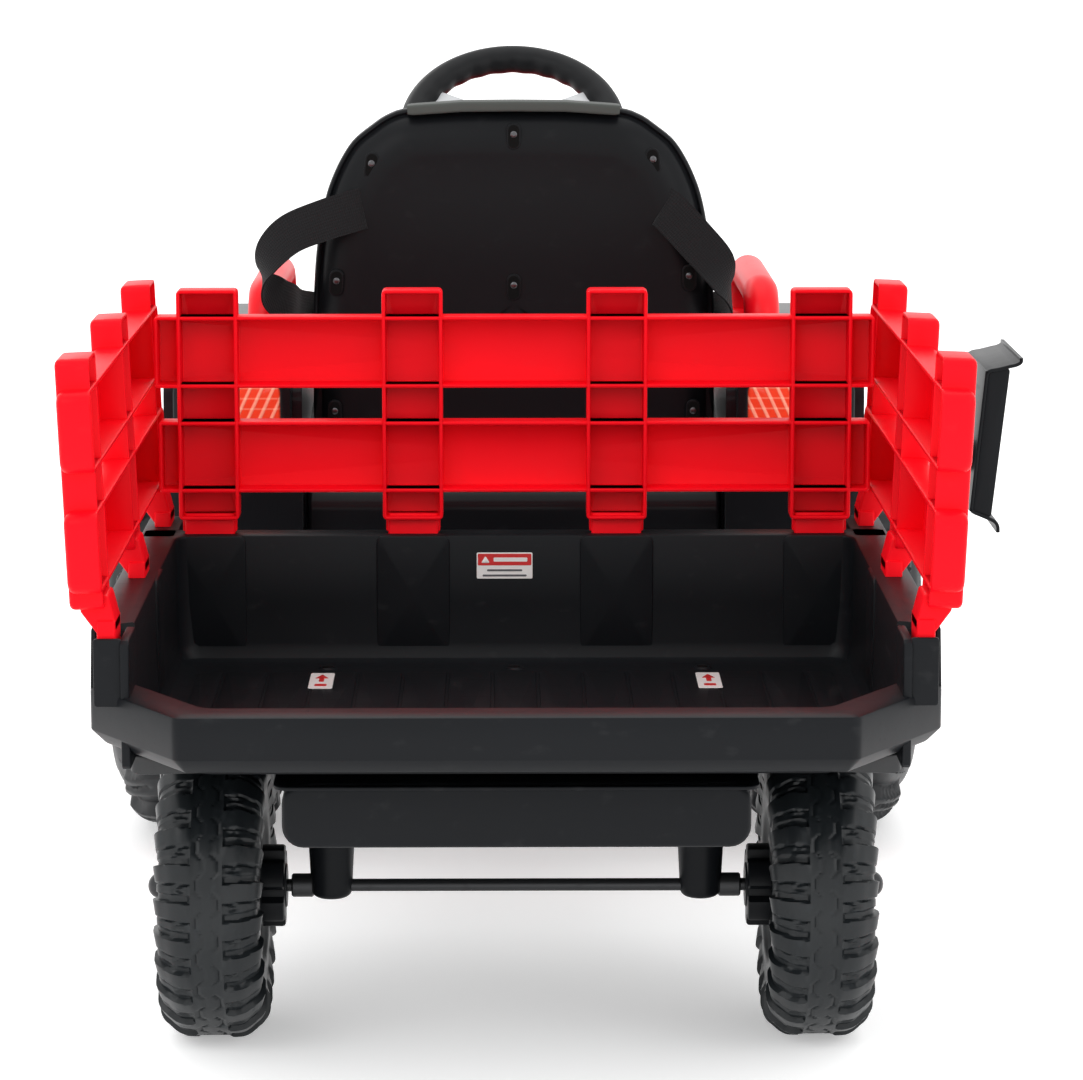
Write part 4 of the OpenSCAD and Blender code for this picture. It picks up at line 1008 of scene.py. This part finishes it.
def seat_base():
    """Sitting pan with raised sides: rings across the seat carried forward."""
    y0, y1 = SEAT_BACK + 12 * MM, SEAT_HI[1]
    t = np.linspace(0, 1, 40)
    u = np.linspace(-1, 1, 41)
    rows = []
    for k in t:
        y = y0 + (y1 - y0) * k
        nose = math.sqrt(max(0.0, 1 - max(0.0, (k - 0.86) / 0.14) ** 2.4)) if k > 0.86 else 1.0
        nose = max(nose, 0.04)
        bolster = (44 * (1 - k) ** 1.6 + 12) * MM
        shape = step(0.72, 0.93, np.abs(u)) * (1 - 0.75 * step(0.955, 1.0, np.abs(u)))
        top = SIT - 4 * MM + (bolster + 4 * MM) * shape
        bottom = SEAT_LO[2] + 2 * MM
        top = bottom + (top - bottom) * nose
        w = SEAT_W * (0.985 + 0.015 * nose)
        over = np.stack([w * u, np.full_like(u, y), top], -1)
        under = np.stack([w * u[::-1] * 0.97, np.full_like(u, y), np.full_like(u, bottom)], -1)
        rows.append(np.concatenate([over, under]))
    return solid(np.stack(rows))


def trim_bits():
    """Grey lining of the back and the sitting pan with soft ribs, and the strip on top."""
    y = SEAT_BACK
    lining = [(33, 0.2, 24), (33, 0, 24), (33, 0, 29), (34.5, 0, 31.8), (38, 0, 33), (46, 0, 33.6), (50, 0.4, 34.4)]
    bits = [back_rings(lining)]
    for x in (-55, 0, 55):
        rib = box4((x - 19) * MM, SIT + 50 * MM, (x + 19) * MM, SEAT_TOP - 70 * MM)
        bits.append(slab(rib, y + 30 * MM, y + 39 * MM, 14 * MM, 4 * MM, back, 6, 4))
        bits.append(slab(box4((x - 20) * MM, y + 58 * MM, (x + 20) * MM, y + 222 * MM), SIT - 9 * MM, SIT + 1.5 * MM,
                         14 * MM, 4 * MM, up, 6, 4))
    bits.append(slab(box4(-SEAT_W + 42 * MM, y + 34 * MM, SEAT_W - 42 * MM, y + 240 * MM), SIT - 10 * MM, SIT - 2 * MM,
                     18 * MM, 3 * MM, up, 6, 4))
    x = np.linspace(-77, 77, 60) * MM
    edge = np.array(BACK_EDGE[:3])
    z = np.interp(np.abs(x), edge[:, 0] * MM, (edge[:, 1] + GROUND / MM) * MM)
    path = np.stack([x, np.full_like(x, y + 17 * MM), z + 0.8 * MM], -1)
    wide = ring(box4(-14 * MM, -5.5 * MM, 14 * MM, 1.8 * MM), 0.0, 1.8 * MM, 5)
    fade = np.clip(np.minimum(x - x[0], x[-1] - x) / (5 * MM), 0, 1)[:, None, None]
    bits.append(swept(path, wide[None] * (0.86 + 0.14 * np.sqrt(fade)), np.broadcast_to((0, 0, 1.0), path.shape)))
    return bits


SCREWS = [(0, 539.6, 0), (-103, 518.6, 0.12), (101, 521.5, -0.12), (-129, 433.5, 0.06), (127.5, 437, -0.06),
          (0, 430, 0), (-131, 338, 0), (131, 338, 0)]


def pocket_bits():
    """A thin raised edge, a near-black plate of painted shade in the slot, and a small screw for each fixing of the
    lining.
    """
    frames, slot_shades, heads = [], [], []
    for x, z, lean in SCREWS:
        inside = max(0.0, 1 - (max(abs(x) - 95, 0) / 36))
        depth = (0.3 + 2.0 * inside * (z < 530)) * MM
        at = (x * MM, SEAT_BACK + depth, GROUND + z * MM)
        outline = box4(-5.2 * MM, -9.6 * MM, 5.2 * MM, 9.6 * MM)
        frames.append(spun(slab(outline, 9 * MM, -0.5 * MM, 5 * MM, 0.5 * MM, back, 6, 3), lean, at))
        inner = box4(-3.9 * MM, -8.4 * MM, 3.9 * MM, 8.4 * MM)
        # Painted shade: a near-black plate standing in for the dark inside of the slot.
        slot_shades.append(spun(slab(inner, 0, -0.75 * MM, 3.8 * MM, 0.05 * MM, back, 6, 1), lean, at))
        dome = [(2.6 * MM * math.cos(t), -0.5 * MM - 0.9 * MM * math.sin(t)) for t in np.linspace(0, 1.35, 6)]
        heads.append(turned(dome, (at[0], at[1], at[2] + 1.5 * MM), "y", 20))
    return frames, slot_shades, heads


def spun(bit, angle, at):
    """Turns a bit about y and moves it."""
    c, q = math.cos(angle), math.sin(angle)
    return bit[0] @ np.array([[c, 0, q], [0, 1, 0], [-q, 0, c]]).T + np.asarray(at), bit[1]


make("seat_back_shell", [seat_back(), seat_base()], "seat_shell", corner=38)
make("seat_lining", trim_bits(), "seat_trim", corner=38)
frame_bits, slot_shade_bits, head_bits = pocket_bits()
make("screw_surrounds", frame_bits, "seat_shell", replaces=None, corner=38)
# Painted shade in the screw slots.
make("screw_slot_shade", slot_shade_bits, body="tractor", paint="painted_hole_shade")
make("screw_heads", head_bits, "seat_screws")


# ---------------------------------------------------------------- straps
# middle line of each strap: out from the seat's middle, back or forward of its back face, up from the
# ground, all in millimetres, and the way its flat face looks
ROUTES = {
    -1: [(105, 12, 488, 0, -1, 0), (111, -1, 487.5, 0, -1, 0.05), (122, -5, 484.5, 0, -1, 0.15),
         (137, -8, 480, 0, -1, 0.25), (160, -9, 471, -0.15, -0.95, 0.35), (174, -8, 459, -0.45, -0.8, 0.35),
         (181, -6, 446, -0.85, -0.5, 0.15), (181, -3, 433, -1, 0.1, 0), (171, 6, 422, -0.8, 0.6, -0.1),
         (161, 24, 415, -1, 0.1, 0), (158, 60, 407, -1, 0, 0.1), (150, 108, 400, -0.7, 0.2, 0.5),
         (124, 136, 386, -0.3, 0.4, 0.9), (88, 147, 370, -0.1, 0.6, 0.8), (52, 150, 354, 0, 0.9, 0.5),
         (28, 150, 346, 0, 1, 0.2)],
    1: [(104, 12, 490, 0, -1, 0), (110, -1, 487.5, 0, -1, 0.05), (118, -5, 480, 0, -1, 0.05),
        (132, -8, 465, 0.1, -1, 0.1), (146, -8, 449, 0.35, -0.9, 0.1), (154, -5, 434, 0.85, -0.5, 0.0),
        (158, 2, 422, 1, 0.1, 0), (159, 24, 413, 1, 0, 0), (158, 60, 406, 1, 0, 0.1),
        (150, 108, 400, 0.7, 0.2, 0.5), (124, 136, 386, 0.3, 0.4, 0.9), (88, 147, 370, 0.1, 0.6, 0.8),
        (52, 150, 354, 0, 0.9, 0.5), (28, 150, 346, 0, 1, 0.2)],
}


def strap_route(s):
    q = np.array(ROUTES[s], float)
    return q[:, :3] * MM * (s, 1, 1) + (0, SEAT_BACK, GROUND), q[:, 3:]


def strap(name, node, s):
    """Webbing 30 mm wide and 1.4 mm thick swept along its route, turning as it goes."""
    p, n = strap_route(s)
    count = 150
    path, face = smooth_path(p, count), smooth_path(n, count)
    run = np.concatenate([[0], np.cumsum(np.linalg.norm(np.diff(path, axis=0), axis=1))])
    u = np.concatenate([np.linspace(-1, 1, 13), np.linspace(1, -1, 13)])
    v = np.concatenate([np.full(13, 1.0), np.full(13, -1.0)])
    section = np.stack([u * 15 * MM, v * 0.7 * MM], -1)
    bits = swept(path, section, face)
    rows = count + 2
    along = np.repeat(np.concatenate([[run[0]], run, [run[-1]]]), len(u))
    across = np.tile(u * 15 * MM, rows)
    piece = make(name, [bits], node, corner=50, marks={"along": along, "across": across})
    return piece


strap("strap_left", "belt_left", -1)
strap("strap_right", "belt_right", 1)


def buckle_bits():
    lo, hi = low("belt_buckle"), high("belt_buckle")
    case = slab(box4(lo[0], lo[2], hi[0], hi[2]), lo[1], hi[1], 8 * MM, 3 * MM, back, 6, 4)
    rib = [slab(box4(x - 1.2 * MM, lo[2] + 8 * MM, x + 1.2 * MM, hi[2] - 8 * MM), lo[1] + 1 * MM, lo[1] - 0.8 * MM,
                1.1 * MM, 0.4 * MM, back, 3, 2) for x in (-18 * MM, -14 * MM, 14 * MM, 18 * MM)]
    return [case] + rib


make("buckle", buckle_bits(), "belt_buckle")
lo, hi = low("belt_buckle"), high("belt_buckle")
make("buckle_button", [slab(box4(-9 * MM, lo[2] + 9 * MM, 9 * MM, hi[2] - 9 * MM), hi[1] - 1 * MM, hi[1] + 2 * MM,
                            4 * MM, 1 * MM, back)], "belt_buckle", paint="mark_red", replaces=None)


# ---------------------------------------------------------------- steering wheel
TILT = math.radians(40)
HUB = np.array([0.0, middle("steering_rim")[1], middle("steering_rim")[2]])


def on_column(points):
    """Moves points made about the wheel's own axis onto the leaning column."""
    c, q = math.cos(TILT), math.sin(TILT)
    return points @ np.array([[1, 0, 0], [0, c, -q], [0, q, c]]).T + HUB


def rim_bits():
    """Rim: a torus whose tube swells into finger waves on its inner side."""
    a = np.linspace(0, TAU, 300, endpoint=False)[:, None]
    t = np.linspace(0, TAU, 36, endpoint=False)[None, :]
    inner = np.clip(-np.cos(t), 0, 1) ** 1.5
    waves = np.cos(a * 26)
    tube = (10.9 + 0.55 * inner * waves) * MM
    r = 79 * MM + tube * np.cos(t)
    grid = np.stack([r * np.cos(a), r * np.sin(a), tube * np.sin(t) + 0 * a], -1)
    p, f = solid(grid, round_rows=True)
    return [(on_column(p), f)]


def spoke_bits():
    """Three dished spokes, a boss with a round pad, and the column shaft."""
    bits = []
    for k in range(3):
        a = math.radians(30 + 120 * k)
        p, f = slab([(16 * MM, -10 * MM), (72 * MM, -7 * MM), (72 * MM, 7 * MM), (16 * MM, 10 * MM)], -6 * MM, 1 * MM,
                    3 * MM, 2 * MM, up, 4, 3)
        turn = np.array([[math.cos(a), -math.sin(a), 0], [math.sin(a), math.cos(a), 0], [0, 0, 1]])
        bits.append((on_column(p @ turn.T), f))
    boss = [(8 * MM, -112 * MM), (8 * MM, -58 * MM), (12 * MM, -56 * MM), (13 * MM, -20 * MM), (24 * MM, -16 * MM),
            (28 * MM, -12 * MM), (28 * MM, 0), (26 * MM, 3 * MM)]
    p, f = turned(boss, (0, 0, 0), "z", 56)
    bits.append((on_column(p), f))
    return bits


def pad_bits():
    dome = [(25.5 * MM * math.cos(t), 2 * MM + 5 * MM * math.sin(t)) for t in np.linspace(0, 1.5, 10)]
    p, f = turned([(25.5 * MM, -2 * MM)] + dome, (0, 0, 0), "z", 56)
    return [(on_column(p), f)]


make("wheel_rim", rim_bits(), "steering_rim", corner=60)
make("wheel_spokes", spoke_bits(), "steering_spokes")
make("wheel_pad", pad_bits(), "steering_rim", replaces=None)


# ---------------------------------------------------------------- handles, lamps, fenders
def handle_path(s):
    lo, hi = low("grab_handle_left"), high("grab_handle_left")
    r = 13 * MM
    x = s * 182 * MM
    y0, y1, z0, z1 = lo[1] + r, hi[1] - r, lo[2] + 1 * MM, hi[2] - r
    bend = 22 * MM
    t = np.linspace(0, math.pi / 2, 12)
    rear = [(y0 + bend - bend * math.cos(k), z1 - bend + bend * math.sin(k)) for k in t]
    fore = [(y1 - bend + bend * math.sin(k), z1 - bend + bend * math.cos(k)) for k in t]
    yz = [(y0, z0)] + rear + fore + [(y1, z0)]
    return np.array([(x, y, z) for y, z in yz])


for hand, s in (("left", -1), ("right", 1)):
    route = handle_path(s)
    foot = [turned([(20 * MM, -3 * MM), (20 * MM, 1.5 * MM), (18 * MM, 3 * MM), (13.5 * MM, 4 * MM)],
                   (s * 182 * MM, y, high("fender_left")[2]), "z", 36) for y in (route[0][1], route[-1][1])]
    make("handle_" + hand, [swept(route, circle(13 * MM, 28), np.broadcast_to((1.0, 0, 0), route.shape))] + foot,
         "grab_handle_" + hand, corner=50)
    lo, hi = low("tail_light_" + hand), high("tail_light_" + hand)
    lens = slab(box4(lo[0] + 2 * MM, lo[2] + 2 * MM, hi[0] - 2 * MM, hi[2] - 2 * MM), hi[1], lo[1] - 1 * MM, 7 * MM,
                2.5 * MM, back, 6, 4)
    make("lens_" + hand, [lens], "tail_light_" + hand)
    frame_rows = [(-6, 4), (-6, 0.5), (-5, -0.8), (-3, -1.4), (0.5, -1.4), (2, -0.6), (2.4, 4)]
    bezel = [(i * MM, lo[1] + h * MM) for i, h in frame_rows]
    outline = box4(lo[0], lo[2], hi[0], hi[2])
    rings = np.stack([back(*ring(outline, i, max(9 * MM - i, 2 * MM), 6).T, np.full(28, h)) for i, h in bezel])
    make("bezel_" + hand, [solid(rings, round_rows=True)], "fender_" + hand, replaces=None)
    eased("fender_" + hand, 5 * MM, 4)


# ---------------------------------------------------------------- hood, nose and dash
def hood_bits():
    """Crowned hood: rounded sections carried from the dash to the nose, which rolls down."""
    lo, hi = low("hood"), high("hood")
    length = hi[1] - lo[1]
    t = np.concatenate([np.linspace(0, 0.03, 5), np.linspace(0.03, 0.8, 20)[1:], np.linspace(0.8, 1.0, 24)[1:]])
    rows = []
    for k in t:
        tail = math.sqrt(max(0.0, 1 - ((0.03 - k) / 0.03) ** 2)) if k < 0.03 else 1.0
        roll = math.sqrt(max(0.0, 1 - ((k - 0.8) / 0.2) ** 2)) if k > 0.8 else 1.0
        top = lo[2] + (hi[2] - lo[2]) * (0.90 + 0.10 * min(1, tail) - 0.06 * k) - (1 - roll) * 60 * MM
        w = hi[0] * (1 - 0.03 * (1 - tail) - 0.035 * k * k) - (1 - roll) * 16 * MM
        p = ring(box4(-w, lo[2], w, top), 0.0, np.array([6, 6, 34, 34]) * MM, 8, 10)
        crown = 5 * MM * (1 - (p[:, 0] / w) ** 2) * (p[:, 1] > top - 2 * MM)
        rows.append(np.stack([p[:, 0], np.full(len(p), lo[1] + length * k), np.minimum(p[:, 1] + crown, hi[2])], -1))
    return [solid(np.stack(rows))]


def hood_trim():
    """Side louvres."""
    lo, hi = low("hood"), high("hood")
    bits = []
    for s in (-1, 1):
        for k in range(5):
            y = lo[1] + (70 + 26 * k) * MM
            bits.append(slab([(y, lo[2] + 50 * MM), (y + 9 * MM, lo[2] + 50 * MM), (y + 27 * MM, lo[2] + 112 * MM),
                              (y + 18 * MM, lo[2] + 112 * MM)], s * (hi[0] - 14 * MM), s * (hi[0] - 0.2 * MM), 3 * MM,
                             1 * MM, side, 4, 3))
    return bits


make("hood_cover", hood_bits(), "hood", corner=45)
make("hood_louvres", hood_trim(), "hood", paint="grille_black", replaces=None)
eased("grille", 1 * MM)
for s, hand in ((-1, "left"), (1, "right")):
    lo, hi = low("headlights"), high("headlights")
    x = s * (hi[0] - 21 * MM)
    z = (lo[2] + hi[2]) / 2
    dome = [(19 * MM * math.cos(t), 3 * MM + 6 * MM * math.sin(t)) for t in np.linspace(0, 1.5, 10)]
    make("headlight_" + hand, [turned([(19 * MM, -6 * MM)] + dome, (x, lo[1], z), "y", 48)], "headlights",
         replaces=("headlights",))
    ring_prof = [(18.5, -8), (18.5, 4.5), (19.5, 6), (21, 6.4), (23, 5), (24, 2), (24, -8)]
    make("headlight_rim_" + hand, [turned([(r * MM, h * MM) for r, h in ring_prof], (x, lo[1], z), "y", 48)],
         "grille", replaces=None)

for node, width in (("rear_body", 4), ("cowl", 3), ("column_housing", 1.5), ("front_bumper", 3), ("chassis_beam", 2),
                    ("front_axle_beam", 1.5), ("hitch_bracket", 1), ("swing_post", 1), ("rear_shaft", 0.4),
                    ("crank", 1.2), ("chain_wheel", 0.3), ("knuckle_left", 1), ("knuckle_right", 1), ("tie_rod", 0.8),
                    ("swing_head", 1.2), ("boom", 2.5), ("chain_guard", 1)):
    eased(node, width * MM)


# ---------------------------------------------------------------- pedals and chain
def pedal_bits(node):
    lo, hi = low(node), high(node)
    at = (lo + hi) / 2
    core = slab(box4(lo[1], lo[2], hi[1], hi[2]), lo[0], hi[0], 7 * MM, 2 * MM, side, 6, 3)
    bits = [core]
    for k in range(-4, 5):
        x = at[0] + k * 8 * MM
        for z in (lo[2] - 0.8 * MM, hi[2] - 1.2 * MM):
            bits.append(slab(box4(x - 1.6 * MM, lo[1] + 8 * MM, x + 1.6 * MM, hi[1] - 8 * MM), z, z + 2 * MM, 1.4 * MM,
                             0.6 * MM, up, 3, 2))
    return bits


for hand in ("left", "right"):
    make("pedal_block_" + hand, pedal_bits("pedal_" + hand), "pedal_" + hand)


def chain_bits():
    """Plates of the chain: alternating links set round the loop of the two toothed wheels."""
    a_at, b_at = middle("rear_shaft"), middle("chain_wheel")
    x = middle("chain")[0]
    r1, r2 = (high("chain_wheel")[2] - low("chain_wheel")[2]) / 2 - 3 * MM + 5.6 * MM, 29.9 * MM
    span = np.array([b_at[1] - a_at[1], b_at[2] - a_at[2]])
    length = np.linalg.norm(span)
    d = span / length
    q = np.array([-d[1], d[0]])
    lean = math.asin((r1 - r2) / length)
    t1 = np.linspace(-math.pi / 2 - lean, math.pi / 2 + lean, 60)
    t2 = np.linspace(math.pi / 2 + lean, 3 * math.pi / 2 - lean, 40)
    arc1 = [length * d + r1 * (math.cos(t) * d + math.sin(t) * q) for t in t1]
    arc2 = [r2 * (math.cos(t) * d + math.sin(t) * q) for t in t2]
    loop = np.array(arc1 + arc2)
    count = 54
    pts = even(loop, count * 2)
    ahead = np.roll(pts, -1, 0) - np.roll(pts, 1, 0)
    ahead /= np.linalg.norm(ahead, axis=1)[:, None]
    bits = []
    half = 6.2 * MM
    for k in range(count):
        c, f = pts[2 * k], ahead[2 * k]
        n = np.array([-f[1], f[0]])
        out = 2.9 * MM if k % 2 else 1.9 * MM
        outline = ring(box4(-half, -2.0 * MM, half, 2.0 * MM), 0.0, 1.9 * MM, 3)
        for s in (-1, 1):
            rows = []
            for h in (out - 0.45 * MM, out + 0.45 * MM):
                yz = c + outline[:, :1] * f + outline[:, 1:] * n
                rows.append(np.stack([np.full(len(yz), x + s * h), a_at[1] + yz[:, 0], a_at[2] + yz[:, 1]], -1))
            bits.append(solid(np.stack(rows)))
    return bits


make("chain_links", chain_bits(), "chain")


# ---------------------------------------------------------------- bucket
BUCKET_Y = (low("bucket")[1] + 3 * MM, high("bucket")[1] - 3 * MM)


def bucket_bits():
    """A bent plate with curled lips carried across the bucket, end plates and hinge ears."""
    line = [(455.5, 297), (455, 293), (450.5, 290.5), (446, 289.5), (436, 287), (428, 285.5), (425.5, 283.5),
            (424.6, 280), (419, 222), (413.4, 164), (413.2, 160), (415, 157.5), (422, 154.5), (429, 151.5),
            (434.5, 148.5), (437, 144.5), (437.5, 139)]
    mid, half = (BUCKET_Y[0] + BUCKET_Y[1]) / 2, (BUCKET_Y[1] - BUCKET_Y[0]) / 2
    line = np.array([(x * MM, mid, z * MM + GROUND) for x, z in line])
    path = smooth_path(line, 90)
    ahead = np.gradient(path, axis=0)
    facing = np.stack([-ahead[:, 2], np.zeros(len(path)), ahead[:, 0]], -1)
    facing /= np.linalg.norm(facing, axis=1)[:, None]
    bits = [swept(path, ring(box4(-half, -1.6 * MM, half, 1.6 * MM), 0.0, 1.2 * MM, 4), facing)]
    end = [(x * MM, z * MM + GROUND) for x, z in ((414, 158), (431, 151.5), (446, 288.5), (426, 284))]
    for h in (BUCKET_Y[0] + 2 * MM, BUCKET_Y[1] - 5 * MM):
        bits.append(slab(end, h, h + 3 * MM, 3 * MM, 1 * MM, back, 4, 3))
    for k in (-17, 17):
        c = mid + k * MM
        ear = [(367 * MM, GROUND + 190 * MM), (418 * MM, GROUND + 188 * MM), (420 * MM, GROUND + 214 * MM),
               (367 * MM, GROUND + 210 * MM)]
        bits.append(slab(ear, c - 3 * MM, c + 3 * MM, 9 * MM, 1 * MM, back, 6, 3))
    bits.append(turned([(4 * MM, -21 * MM), (4 * MM, 21 * MM)], (378 * MM, mid, GROUND + 200 * MM), "y", 24))
    return bits


make("bucket_plate", bucket_bits(), "bucket", corner=40)


# ---------------------------------------------------------------- stage
def add_stage():
    mesh = bpy.data.meshes.new("floor")
    r = 60.0
    mesh.from_pydata([(-r, -r, GROUND), (r, -r, GROUND), (r, r, GROUND), (-r, r, GROUND)], [], [(0, 1, 2, 3)])
    floor = bpy.data.objects.new("floor", mesh)
    bpy.context.scene.collection.objects.link(floor)
    p = Paint("floor_paint", Specular_IOR_Level=0.1, Emission_Color=(1.0, 1.0, 1.0, 1.0), Emission_Strength=0.35)
    cloud = p.blend(p.noise(2.0), (0.90, 0.90, 0.90), (0.93, 0.93, 0.93))
    p.feed(Base_Color=cloud, Roughness=p.noise(3.0) * 0.1 + 0.75)
    mesh.materials.append(p.material)
    world = bpy.data.worlds.new("studio")
    world.use_nodes = True
    world.node_tree.nodes["Background"].inputs[0].default_value = (1.0, 1.0, 1.0, 1.0)
    world.node_tree.nodes["Background"].inputs[1].default_value = 1.25
    bpy.context.scene.world = world


def add_light(name, place, aim, size, watts):
    data = bpy.data.lights.new(name, "AREA")
    data.shape = "RECTANGLE"
    data.size, data.size_y = size
    data.energy = watts
    lamp = bpy.data.objects.new(name, data)
    lamp.location = place
    lamp.rotation_euler = (Vector(aim) - Vector(place)).to_track_quat("-Z", "Y").to_euler()
    bpy.context.scene.collection.objects.link(lamp)


add_stage()
add_light("key", (-1.6, -2.2, 2.2), (0, 0.1, 0), (1.6, 1.2), 14)
add_light("fill", (2.0, -1.6, 1.4), (0, 0.1, 0), (1.2, 1.6), 8)
add_light("top", (0.0, 0.6, 2.6), (0, 0.3, 0), (2.4, 1.8), 12)
add_light("edge", (-1.2, 2.6, 1.6), (0, 0.4, 0.1), (1.4, 1.2), 8)
